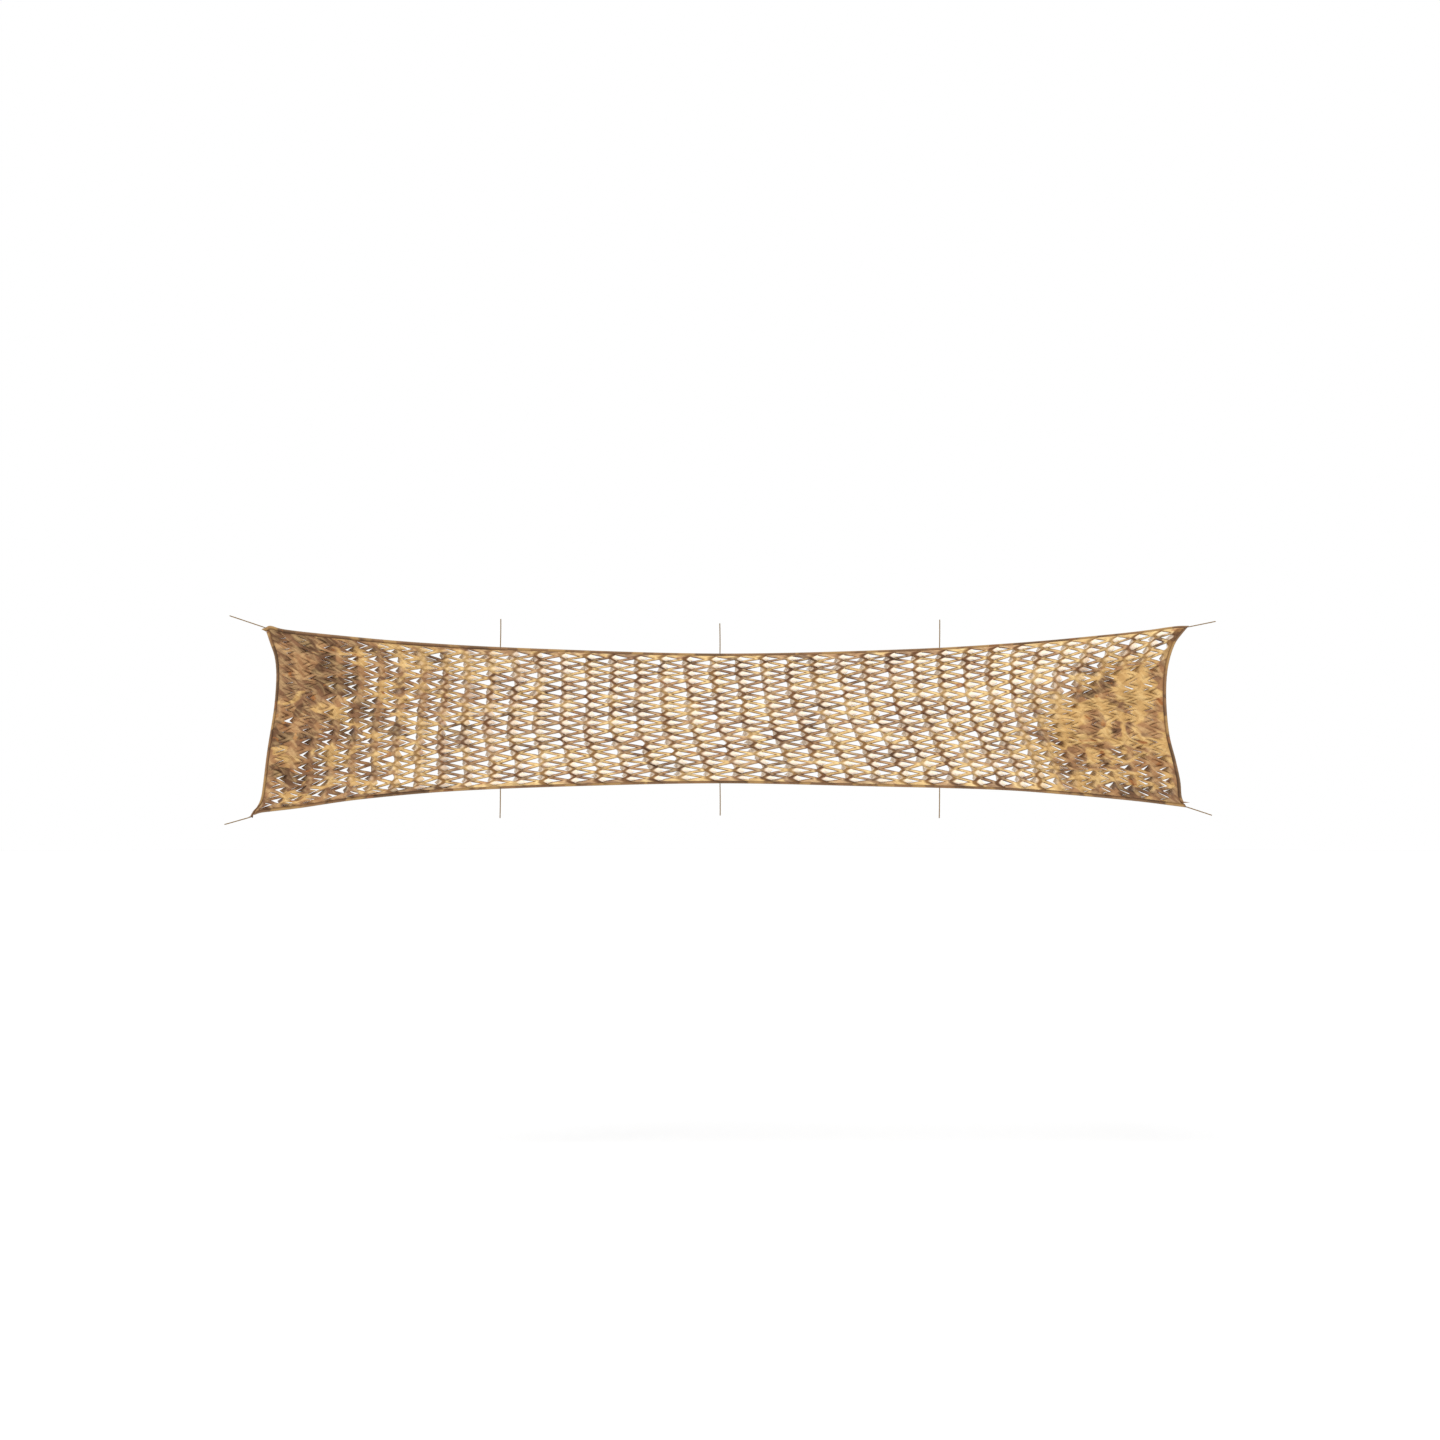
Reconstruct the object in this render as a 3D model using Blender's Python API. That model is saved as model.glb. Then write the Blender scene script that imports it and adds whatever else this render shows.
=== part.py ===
"""Leaf-cut camouflage net, cut 5 m by 1 m, hung stretched between ten cord ties.

Metres, +Z up. The net hangs in the XZ plane: +X runs along its length and -Y is its front.
The origin is the middle of the top edge.
"""

import math
from bisect import bisect_left

import bmesh
import bpy
from mathutils import Vector
from mathutils.geometry import delaunay_2d_cdt

MM = 0.001

# Cloth and tape
CLOTH_THICK = 1.6 * MM
TAPE_THICK = 1.2 * MM
TAPE_WIDTH = 20 * MM
CLEARANCE = 0.3 * MM
CLOTH_INSET = 4 * MM  # how far the cloth's raw edge stays inside the tape's fold
BUTT_GAP = 2 * MM  # between two tapes where one ends against the other
SLANT_GAP = 9 * MM  # the same at the lower left, where the left tape runs off at a slant

# Slits, laid out at twice the pitch of the finished net. Reaches are shares of the column pitch
COLUMNS = 19
ROWS = 8
LATTICE_MARGIN = 34 * MM  # from the net's edge to the first and last slits
COLUMN_SPREAD = 0.15  # how much wider the columns stand in the middle than at the ends
LEAN = 0.40  # sideways run of a column line for each metre of drop, at its most
LEAN_GROWTH = 0.70  # the share of the length over which the lean grows from the left
LEAN_ENDS = (0.10, 0.12)  # upright columns at the left and right ends, as shares of the length
# The two families of slits: which way they point, the column line they grow from and their level
FAMILIES = (
    (1, 0, 0.25),
    (-1, 1, 0.75),
)
TIP_REACH = 0.62  # a slit's point
TAPER_REACH = 0.38  # half way along its taper
HEEL_REACH = 0.17  # its widest place
ROOT_REACH = 0.04  # where an open slit's leaf is rooted
SHUT_REACH = 0.40  # where the leaf ends while the slit is nearly shut
HALF_GAPE = 0.31  # half of an open slit's height, as a share of the row pitch
TAPER_GAPE = 0.62  # the gape half way along the taper, as a share of the widest
SHUT_POINTS = (0.1, 0.35, 0.6, 0.85)  # where shut cloth is free to crumple
LEFT_OPENING = 0.28  # the slits come open over this share of the length from the left end
RIGHT_OPENING = 0.16  # and over this share from the right end, past the stretch that stays shut
RIGHT_SHUT = 0.065
OPENING_UNEVEN = 0.12
LEAST_OPENING = 0.24  # a slit that opens less than this stays shut
LEAF_TURN = (0.3, 0.8)  # openings at which a leaf starts to turn out and has turned fully
# Where a corner tie pulls the slits open, 0 being the left end and the bottom edge
CORNER_PULL_LENGTH = (0.25, 0.35)  # shares of the length up to which the pull is full, and ends
CORNER_PULL_FADE = 0.7  # the share of its height over which the pull dies away
CORNER_PULL = (
    # end, edge, opening, share of the height it reaches
    (0, 0, 0.50, 0.20),
    (0, 1, 0.55, 0.30),
    (1, 0, 0.60, 0.35),
    (1, 1, 1.00, 0.38),
)
LEAF_OPENING = 0.70  # a slit that opens more than this has turned its leaf out
LEAF_REACH = 42 * MM
LEAF_UNEVEN = 0.20
LEAF_RUN = 14 * MM
LEAF_DROP = 8 * MM

# Relief of the hung cloth: waves with their size, turns along the length, turns up the height
# and start in turns
BELLY = ((12 * MM, 0.97, 0.0, 0.13), (5 * MM, 2.70, 0.8, 0.00))
CRUMPLE = ((8 * MM, 3.20, 4.1, 0.10), (6 * MM, 9.50, -2.4, 0.35))
TOP_WAVE = ((5 * MM, 1.43, 0.0, 0.06),)
BOTTOM_WAVE = ((5 * MM, 1.75, 0.0, 0.35),)
CORNER_CALM = 0.06  # the edges come level over this share of the length at either end
PLEAT = 7 * MM
PLEAT_UNEVEN = 0.40
EDGE_FLAT = 25 * MM  # the border that stays level inside the tape
EDGE_BLEND = 130 * MM

# Tape stations along a long and a short side, closer together towards the corners
LONG_STATIONS = 40
SHORT_STATIONS = 16
CORNER_CROWDING = 0.8
LEAST_STEP = 0.002

# The four edges as they hang, left to right or bottom to top, columns x and z
TOP_EDGE = (
    (-2.441, 0.136),
    (-2.412, 0.149),
    (-2.331, 0.129),
    (-2.090, 0.102),
    (-1.607, 0.059),
    (-0.963, 0.026),
    (0.000, 0.000),
    (0.968, 0.022),
    (1.612, 0.059),
    (2.095, 0.103),
    (2.298, 0.126),
    (2.401, 0.141),
    (2.462, 0.148),
    (2.517, 0.149),
)
BOTTOM_EDGE = (
    (-2.524, -0.880),
    (-2.473, -0.857),
    (-2.400, -0.847),
    (-2.251, -0.829),
    (-1.929, -0.783),
    (-1.446, -0.740),
    (-0.802, -0.713),
    (0.000, -0.697),
    (0.807, -0.713),
    (1.451, -0.730),
    (1.827, -0.755),
    (2.210, -0.790),
    (2.503, -0.826),
)
LEFT_EDGE = (
    (-2.524, -0.880),
    (-2.505, -0.846),
    (-2.483, -0.821),
    (-2.464, -0.778),
    (-2.453, -0.712),
    (-2.429, -0.520),
    (-2.396, -0.317),
    (-2.384, -0.198),
    (-2.381, -0.097),
    (-2.390, -0.016),
    (-2.412, 0.050),
    (-2.441, 0.136),
)
RIGHT_EDGE = (
    (2.503, -0.826),
    (2.478, -0.769),
    (2.470, -0.685),
    (2.445, -0.570),
    (2.412, -0.440),
    (2.396, -0.284),
    (2.396, -0.145),
    (2.410, -0.043),
    (2.440, 0.049),
    (2.478, 0.104),
    (2.517, 0.149),
)

# Ties sewn in at the corners: name, then x and z of the root and of the free end
CORNER_TIES = (
    ("tie_top_left_corner", (-2.4441, 0.1398), (-2.6314, 0.2026)),
    ("tie_top_right_corner", (2.5157, 0.1431), (2.6590, 0.1722)),
    ("tie_bottom_left_corner", (-2.5213, -0.8785), (-2.6585, -0.9175)),
    ("tie_bottom_right_corner", (2.5039, -0.8236), (2.6390, -0.8680)),
)
# Ties sewn in along the two long edges: name, whether on the top edge, root x, free end x, length
EDGE_TIES = (
    ("tie_top_left", True, -1.178, -1.176, 0.150),
    ("tie_top_middle", True, 0.000, -0.001, 0.161),
    ("tie_top_right", True, 1.178, 1.179, 0.150),
    ("tie_bottom_left", False, -1.178, -1.180, 0.156),
    ("tie_bottom_middle", False, 0.000, 0.001, 0.172),
    ("tie_bottom_right", False, 1.178, 1.176, 0.161),
)
TIE_DIAMETER = 6 * MM
TIE_STEP = 15 * MM
TIE_SEAT = 0.7 * MM  # from the tape's fold to the cord's root
TIE_BOW = (0.6 * MM, 1.5 * MM, 0.0)  # how far a tie stands off a straight line half way along

# The lower left tape is cut square across its slant: x and z of the outer and the inner corner
SQUARE_END = ((-2.529, -0.872), (-2.507, -0.882))
# Corner tails, as x and z from the tape's own corner
TOP_TAIL = (-0.020, -0.006)
RIGHT_TAIL = (0.028, 0.006)
TAIL_DEPTH = 12 * MM

# Colour, roughness and metallic of each material
FINISHES = {
    "printed_cloth": ((0.42, 0.27, 0.12, 1.0), 0.85, 0.0),
    "printed_tape": ((0.30, 0.19, 0.09, 1.0), 0.85, 0.0),
    "cord": ((0.66, 0.52, 0.34, 1.0), 0.80, 0.0),
}


def smoothstep(share):
    share = min(max(share, 0.0), 1.0)
    return share * share * (3 - 2 * share)


def mix(low, high, share):
    return low + (high - low) * share


def uneven(a, b):
    """A fixed value from -1 to 1 that differs for each pair of counts."""
    wave = math.sin(12.9898 * a + 78.233 * b) * 43758.5453
    return 2 * (wave - math.floor(wave)) - 1


class Edge:
    """A smooth curve through a few points, read by its share of length."""

    STEPS = 24

    def __init__(self, points):
        path = [Vector(point) for point in points]
        path = [2 * path[0] - path[1], *path, 2 * path[-1] - path[-2]]
        self.points = []
        for a, b, c, d in zip(path, path[1:], path[2:], path[3:]):
            for step in range(self.STEPS):
                t = step / self.STEPS
                bend = (2 * a - 5 * b + 4 * c - d) * t**2 + (3 * b - a - 3 * c + d) * t**3
                self.points.append(0.5 * (2 * b + (c - a) * t + bend))
        self.points.append(path[-2])
        self.reach = [0.0]
        for before, after in zip(self.points, self.points[1:]):
            self.reach.append(self.reach[-1] + (after - before).length)
        self.length = self.reach[-1]

    def at(self, share):
        wanted = min(max(share, 0.0), 1.0) * self.length
        last = min(max(bisect_left(self.reach, wanted), 1), len(self.reach) - 1)
        span = self.reach[last] - self.reach[last - 1]
        return self.points[last - 1].lerp(self.points[last], (wanted - self.reach[last - 1]) / span)

    def share_at_x(self, x):
        """The share of length at which a long edge passes x."""
        last = next(i for i, point in enumerate(self.points) if point.x >= x and i > 0)
        before, after = self.points[last - 1], self.points[last]
        part = (x - before.x) / (after.x - before.x)
        return mix(self.reach[last - 1], self.reach[last], part) / self.length


TOP = Edge(TOP_EDGE)
BOTTOM = Edge(BOTTOM_EDGE)
LEFT = Edge(LEFT_EDGE)
RIGHT = Edge(RIGHT_EDGE)
MEAN_LENGTH = (TOP.length + BOTTOM.length) / 2


def height_at(u):
    return (TOP.at(u) - BOTTOM.at(u)).length


def flat_place(u, v):
    """x and z of the sheet at share u of its length and share v of its height."""
    across = (1 - v) * BOTTOM.at(u) + v * TOP.at(u)
    along = (1 - u) * LEFT.at(v) + u * RIGHT.at(v)
    low = (1 - u) * BOTTOM.at(0) + u * BOTTOM.at(1)
    high = (1 - u) * TOP.at(0) + u * TOP.at(1)
    return across + along - (1 - v) * low - v * high


def opening(u, v):
    """How far slits are pulled open: 1 in the middle, almost 0 at the gathered ends."""
    amount = smoothstep(u / LEFT_OPENING) * smoothstep((1 - RIGHT_SHUT - u) / RIGHT_OPENING)
    full, ends = CORNER_PULL_LENGTH
    for end, edge, pull, reach in CORNER_PULL:
        near_end = smoothstep((ends - abs(u - end)) / (ends - full))
        near_edge = smoothstep((reach - abs(v - edge)) / (CORNER_PULL_FADE * reach))
        amount = max(amount, pull * near_end * near_edge)
    return amount


def waves(table, u, v):
    return sum(size * math.sin(math.tau * (long * u + up * v + start)) for size, long, up, start in table)


def relief(u, v, column):
    """How far the sheet stands behind (+) or before (-) the plane it hangs in."""
    height = height_at(u)
    from_edge = min(u * MEAN_LENGTH, (1 - u) * MEAN_LENGTH, v * height, (1 - v) * height)
    free = smoothstep((from_edge - EDGE_FLAT) / EDGE_BLEND)
    calm = smoothstep(u / CORNER_CALM) * smoothstep((1 - u) / CORNER_CALM)
    edges = mix(waves(BOTTOM_WAVE, u, v), waves(TOP_WAVE, u, v), v) * calm
    pull = opening(u, v)
    pleat = PLEAT * math.cos(math.tau * column) * (1 + PLEAT_UNEVEN * uneven(round(column), ROWS))
    hung = waves(BELLY, u, v) + pleat * pull + waves(CRUMPLE, u, v) * (1 - pull)
    return edges + hung * free


def sheet_point(u, v, column=0.0):
    place = flat_place(u, v)
    return Vector((place.x, relief(u, v, column), place.y))


def lattice_place(column, row):
    """Shares u and v of a place on the slit lattice, counted in columns and rows."""
    share = column / COLUMNS
    middle = share - COLUMN_SPREAD / math.tau * math.sin(math.tau * share)
    margin = LATTICE_MARGIN / MEAN_LENGTH
    u = mix(margin, 1 - margin, middle)
    height = height_at(u)
    v = mix(LATTICE_MARGIN / height, 1 - LATTICE_MARGIN / height, row / ROWS)
    upright = smoothstep(share / LEAN_ENDS[0]) * smoothstep((1 - share) / LEAN_ENDS[1])
    lean = LEAN * smoothstep(share / LEAN_GROWTH) * upright
    return u + lean * (0.5 - v) * height / MEAN_LENGTH, v


def slit_outline(column, row, way, amount):
    """The gap of one slit, tip first: way is 1 where it points right and -1 where it points left."""
    gape = HALF_GAPE * amount
    start, full = LEAF_TURN
    root = mix(SHUT_REACH, ROOT_REACH, smoothstep((amount - start) / (full - start)))
    outline = (
        (TIP_REACH, 0.0),
        (TAPER_REACH, TAPER_GAPE * gape),
        (HEEL_REACH, gape),
        (root, 0.0),
        (HEEL_REACH, -gape),
        (TAPER_REACH, -TAPER_GAPE * gape),
    )
    return [(column + way * reach, row + rise) for reach, rise in outline]


def slits():
    """Each slit's column line, row, way and opening."""
    for column in range(COLUMNS):
        for row in range(ROWS):
            for way, step, rise in FAMILIES:
                line, level = column + step, row + rise
                u, v = lattice_place(line + way * HEEL_REACH, level)
                amount = opening(u, v) * (1 + OPENING_UNEVEN * uneven(line, level))
                yield line, level, way, min(amount, 1.0)


def inside(point, outline):
    """True where a flat point lies inside a closed outline."""
    crossings = 0
    for a, b in zip(outline, outline[1:] + outline[:1]):
        if (a.y > point.y) != (b.y > point.y):
            crossings += point.x < a.x + (b.x - a.x) * (point.y - a.y) / (b.y - a.y)
    return crossings % 2 == 1


def station_shares(first, last, count):
    """Shares of an edge's length from first to last. Every line along the edge has the same stations
    between its ends. They crowd towards the corners, where the edge turns."""
    steps = [step / count for step in range(count + 1)]
    shares = [step - CORNER_CROWDING * math.sin(math.tau * step) / math.tau for step in steps]
    between = [share for share in shares if first + LEAST_STEP < share < last - LEAST_STEP]
    return [first, *between, last]


def border_shares(inset):
    """u and v round the sheet at one inset, in order, one pair for each station."""
    low, high = inset / MEAN_LENGTH, 1 - inset / MEAN_LENGTH
    longs = station_shares(low, high, LONG_STATIONS)
    left_low, right_low = inset / height_at(0), inset / height_at(1)
    ring = [(u, inset / height_at(u)) for u in longs[:-1]]
    ring += [(high, v) for v in station_shares(right_low, 1 - right_low, SHORT_STATIONS)[:-1]]
    ring += [(u, 1 - inset / height_at(u)) for u in longs[:0:-1]]
    ring += [(low, v) for v in station_shares(left_low, 1 - left_low, SHORT_STATIONS)[:0:-1]]
    return ring


class Net:
    """Collects the sheet's points and the edges that its faces keep."""

    def __init__(self):
        self.flat = []
        self.solid = []
        self.kept = []

    def add(self, point):
        self.flat.append(Vector((point.x, point.z)))
        self.solid.append(point)
        return len(self.flat) - 1

    def add_loop(self, points):
        ids = [self.add(point) for point in points]
        self.kept += zip(ids, ids[1:] + ids[:1])
        return ids


def leaf_tip(column, row, way, amount):
    """Where a turned-out leaf ends: before the net for one family, behind it for the other."""
    root = sheet_point(*lattice_place(column + way * HEEL_REACH / 2, row), column)
    reach = LEAF_REACH * amount * (1 + LEAF_UNEVEN * uneven(row, column))
    drop = LEAF_DROP * (1 + uneven(column, row))
    return root + Vector((way * LEAF_RUN, -way * reach, -drop))


def make_cloth(material):
    net = Net()
    net.add_loop([sheet_point(u, v) for u, v in border_shares(CLOTH_INSET)])
    net.add_loop([sheet_point(u, v) for u, v in border_shares(TAPE_WIDTH)])
    gaps = []
    leaves = []
    for line, level, way, amount in slits():
        if amount < LEAST_OPENING:
            for reach in SHUT_POINTS:
                column = line + way * reach
                net.add(sheet_point(*lattice_place(column, level), column))
            continue
        outline = slit_outline(line, level, way, amount)
        ids = net.add_loop([sheet_point(*lattice_place(*place), place[0]) for place in outline])
        gaps.append([net.flat[i] for i in ids])
        if amount > LEAF_OPENING:
            leaves.append((ids[2:5], leaf_tip(line, level, way, amount)))

    flat, _, faces, origins, _, _ = delaunay_2d_cdt(net.flat, net.kept, [], 1, 1e-6)
    mesh = bmesh.new()
    verts = [mesh.verts.new(net.solid[origin[0]]) for origin in origins]
    new_of = {origin: i for i, found in enumerate(origins) for origin in found}
    for face in faces:
        middle = sum((flat[i] for i in face), Vector((0, 0))) / 3
        if not any(inside(middle, gap) for gap in gaps):
            mesh.faces.new([verts[i] for i in face])
    for base, tip in leaves:
        heel, root, other_heel = (verts[new_of[i]] for i in base)
        point = mesh.verts.new(tip)
        mesh.faces.new((heel, root, point))
        mesh.faces.new((root, other_heel, point))
    bmesh.ops.recalc_face_normals(mesh, faces=mesh.faces)
    cloth = add_object("net_cloth", mesh, material)
    thicken(cloth, CLOTH_THICK)
    print(f"net_cloth: {len(gaps)} gaps, {len(leaves)} leaves turned out")


def add_object(name, mesh, material):
    data = bpy.data.meshes.new(name)
    mesh.to_mesh(data)
    mesh.free()
    data.materials.append(material)
    made = bpy.data.objects.new(name, data)
    bpy.context.scene.collection.objects.link(made)
    return made


def thicken(sheet, thickness):
    wall = sheet.modifiers.new("thickness", "SOLIDIFY")
    wall.thickness = thickness
    wall.offset = 0.0


def make_tape(name, stations, material):
    """A tape folded over the cloth's edge. Each station is an outer and an inner point on the sheet."""
    half_gap = CLOTH_THICK / 2 + CLEARANCE + TAPE_THICK / 2
    away = Vector((0, half_gap, 0))
    mesh = bmesh.new()
    rows = []
    for outer, inner in stations:
        fold = outer + (inner - outer).normalized() * TAPE_THICK / 2
        rows.append([mesh.verts.new(p) for p in (inner - away, fold - away, fold + away, inner + away)])
    for low, high in zip(rows, rows[1:]):
        for i in range(len(low) - 1):
            mesh.faces.new((low[i], low[i + 1], high[i + 1], high[i]))
    tape = add_object(name, mesh, material)
    thicken(tape, TAPE_THICK)
    tape.modifiers["thickness"].use_even_offset = True


def long_stations(first, last, top):
    stations = []
    for u in station_shares(first, last, LONG_STATIONS):
        width = TAPE_WIDTH / height_at(u)
        shares = ((u, 1), (u, 1 - width)) if top else ((u, 0), (u, width))
        stations.append([sheet_point(*share) for share in shares])
    return stations


def short_stations(first, last, left):
    shares = station_shares(first, last, SHORT_STATIONS)
    width = TAPE_WIDTH / MEAN_LENGTH
    edge, inner = (0, width) if left else (1, 1 - width)
    return [[sheet_point(edge, v), sheet_point(inner, v)] for v in shares]


def with_tail(stations, tail):
    """Draws the last station's outer corner out into a tail, close to the tape's end."""
    before, last = stations[-2:]
    part = 1 - TAIL_DEPTH / (last[0] - before[0]).length
    kept = [low.lerp(high, part) for low, high in zip(before, last)]
    last[0] = last[0] + Vector((tail[0], 0, tail[1]))
    return [*stations[:-1], kept, last]


def make_tapes(material):
    butt = (TAPE_WIDTH + SLANT_GAP) / MEAN_LENGTH
    left_top = 1 - (TAPE_WIDTH + BUTT_GAP) / height_at(0)
    right_top = 1 - (TAPE_WIDTH + BUTT_GAP) / height_at(1)
    right_bottom = (TAPE_WIDTH + BUTT_GAP) / height_at(1)
    top = long_stations(0, 1, True)[::-1]
    make_tape("binding_top", with_tail(top, TOP_TAIL), material)
    make_tape("binding_bottom", long_stations(butt, 1, False), material)
    left = short_stations(0, left_top, True)
    left[0] = [Vector((x, 0, z)) for x, z in SQUARE_END]
    make_tape("binding_left", left, material)
    right = short_stations(right_bottom, right_top, False)[::-1]
    make_tape("binding_right", with_tail(right, RIGHT_TAIL), material)


def make_tie(name, root, end, material):
    """A straight-drawn cord with a slight bow, from its root in the tape to its free end."""
    span = end - root
    steps = round(span.length / TIE_STEP)
    bow = Vector(TIE_BOW)
    data = bpy.data.curves.new(name, "CURVE")
    data.dimensions = "3D"
    data.bevel_depth = TIE_DIAMETER / 2
    data.bevel_resolution = 2
    data.use_fill_caps = True
    line = data.splines.new("POLY")
    line.points.add(steps)
    for i, point in enumerate(line.points):
        share = i / steps
        point.co = (*(root + span * share + bow * math.sin(math.pi * share)), 1.0)
    data.materials.append(material)
    tie = bpy.data.objects.new(name, data)
    bpy.context.scene.collection.objects.link(tie)
    print(f"{name}: {span.length * 1000:.0f} mm")


def make_ties(material):
    for name, root, end in CORNER_TIES:
        make_tie(name, Vector((root[0], 0, root[1])), Vector((end[0], 0, end[1])), material)
    for name, on_top, root_x, end_x, length in EDGE_TIES:
        edge, v, up = (TOP, 1, 1) if on_top else (BOTTOM, 0, -1)
        root = sheet_point(edge.share_at_x(root_x), v) + Vector((0, 0, up * TIE_SEAT))
        end = Vector((end_x, root.y, root.z + up * length))
        make_tie(name, root, end, material)


def make_material(name):
    colour, roughness, metallic = FINISHES[name]
    material = bpy.data.materials.new(name)
    material.use_nodes = True
    shader = material.node_tree.nodes["Principled BSDF"]
    shader.inputs["Base Color"].default_value = colour
    shader.inputs["Roughness"].default_value = roughness
    shader.inputs["Metallic"].default_value = metallic
    material.diffuse_color = colour
    return material


def main():
    for old in list(bpy.data.objects):
        bpy.data.objects.remove(old)
    make_cloth(make_material("printed_cloth"))
    make_tapes(make_material("printed_tape"))
    make_ties(make_material("cord"))


main()
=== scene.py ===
# %% [markdown]
# # A leaf-cut camouflage net
#
# The net is one strip of printed cloth, five metres by one. Rows of V-shaped slits are cut into it,
# and a narrow tape is folded over its edge and sewn down. Ten cord ties hold it stretched. The pull
# opens the slits, and the small tongue of cloth inside each V, which is called a leaf, turns out of
# the sheet. This lesson builds the net in that order: cords, tapes, stitches, then the cloth.

# %% Load the model's parts and bake their placement
import math
from bisect import bisect_left

import bmesh
import bpy
from mathutils import Matrix, Vector, noise


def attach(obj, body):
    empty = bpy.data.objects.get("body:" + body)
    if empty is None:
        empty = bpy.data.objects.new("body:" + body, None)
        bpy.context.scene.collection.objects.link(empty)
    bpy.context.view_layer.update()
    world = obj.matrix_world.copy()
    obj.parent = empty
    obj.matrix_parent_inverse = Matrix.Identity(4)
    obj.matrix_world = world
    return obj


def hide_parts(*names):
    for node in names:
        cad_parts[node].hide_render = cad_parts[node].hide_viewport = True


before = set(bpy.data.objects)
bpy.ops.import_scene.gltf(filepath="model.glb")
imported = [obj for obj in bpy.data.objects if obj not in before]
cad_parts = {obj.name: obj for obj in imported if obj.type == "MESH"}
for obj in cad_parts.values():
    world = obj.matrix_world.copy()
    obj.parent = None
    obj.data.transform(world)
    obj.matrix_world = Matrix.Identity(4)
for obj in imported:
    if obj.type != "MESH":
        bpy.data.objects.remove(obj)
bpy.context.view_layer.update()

MM = 0.001

# %% [markdown]
# ## Camera
#
# A net this long is pictured square on and from far away, so that both ends keep their size. A long
# lens does that. The lens follows from the distance and from the width of the view at the net.

# %% Camera
VIEW_WIDTH = 7.7256  # metres across the picture, at the net
VIEW_LEVEL = -0.3568
VIEW_DISTANCE = 24.0
SENSOR_WIDTH = 36
FARTHEST = 200

camera_data = bpy.data.cameras.new("camera")
camera_data.sensor_width = SENSOR_WIDTH
camera_data.lens = SENSOR_WIDTH * VIEW_DISTANCE / VIEW_WIDTH
camera_data.clip_end = FARTHEST
camera = bpy.data.objects.new("camera", camera_data)
camera.location = (0, -VIEW_DISTANCE, VIEW_LEVEL)
camera.rotation_euler = (math.radians(90), 0, 0)
bpy.context.scene.collection.objects.link(camera)
bpy.context.scene.camera = camera
print(f"lens {camera_data.lens:.0f} mm at {VIEW_DISTANCE:.0f} m")

# %% [markdown]
# ## Studio
#
# The gaps in the net show what is behind it, so the ground is a plain white. A white world lights
# the net from all round and one large soft sun from above the camera gives the leaves their shade.
# The floor is a wide disc well below the net.

# %% Studio
scene = bpy.context.scene
scene.view_settings.view_transform = "Standard"
SUN_STRENGTH = 2.2
SUN_SOFTNESS = 30  # degrees that the sun is wide
SUN_DIRECTION = (0.35, 1.0, -0.85)
FLOOR_LEVEL = -2.8
FLOOR_RADIUS = 60
FLOOR_GREY = (0.76, 0.76, 0.76, 1)

world = bpy.data.worlds.new("studio")
world.use_nodes = True
background = world.node_tree.nodes["Background"]
background.inputs["Color"].default_value = (1, 1, 1, 1)
background.inputs["Strength"].default_value = 1.0
scene.world = world


def add_sun(name, strength, softness, direction):
    data = bpy.data.lights.new(name, "SUN")
    data.energy = strength
    data.angle = math.radians(softness)
    sun = bpy.data.objects.new(name, data)
    sun.rotation_mode = "QUATERNION"
    sun.rotation_quaternion = Vector(direction).to_track_quat("-Z", "Y")
    scene.collection.objects.link(sun)


add_sun("key_light", SUN_STRENGTH, SUN_SOFTNESS, SUN_DIRECTION)

floor_mesh = bmesh.new()
bmesh.ops.create_circle(floor_mesh, cap_ends=True, segments=64, radius=FLOOR_RADIUS,
                        matrix=Matrix.Translation((0, 0, FLOOR_LEVEL)))
floor_data = bpy.data.meshes.new("floor")
floor_mesh.to_mesh(floor_data)
floor_mesh.free()
floor = bpy.data.objects.new("floor", floor_data)
scene.collection.objects.link(floor)
floor_paint = bpy.data.materials.new("pale_floor")
floor_paint.use_nodes = True
floor_shader = floor_paint.node_tree.nodes["Principled BSDF"]
floor_shader.inputs["Base Color"].default_value = FLOOR_GREY
floor_shader.inputs["Roughness"].default_value = 0.9
floor_data.materials.append(floor_paint)
print("studio: white world, one sun, floor at", FLOOR_LEVEL)

# %% [markdown]
# ## Shader sums
#
# A finish is a sum of masks, such as *print plus wear minus shade*. `Value` wraps one socket, so
# that such a sum can be written as plain arithmetic: each sign adds one Math node. `Finish` makes
# every other node, with its settings first and then its inputs.

# %% A value on a surface, and a finish made of such values
class Value:
    """One socket that varies over a surface."""

    def __init__(self, finish, socket):
        self.finish, self.socket = finish, socket

    def math(self, operation, first, second, clamp=False):
        settings = {"operation": operation, "use_clamp": clamp}
        return self.finish.node("ShaderNodeMath", settings, {0: first, 1: second})

    def __add__(self, other):
        return self.math("ADD", self, other)

    __radd__ = __add__

    def __sub__(self, other):
        return self.math("SUBTRACT", self, other)

    def __rsub__(self, other):
        return self.math("SUBTRACT", other, self)

    def __mul__(self, other):
        return self.math("MULTIPLY", self, other)

    __rmul__ = __mul__

    def clamped(self):
        """The value, held between 0 and 1."""
        return self.math("ADD", self, 0.0, clamp=True)


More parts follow.
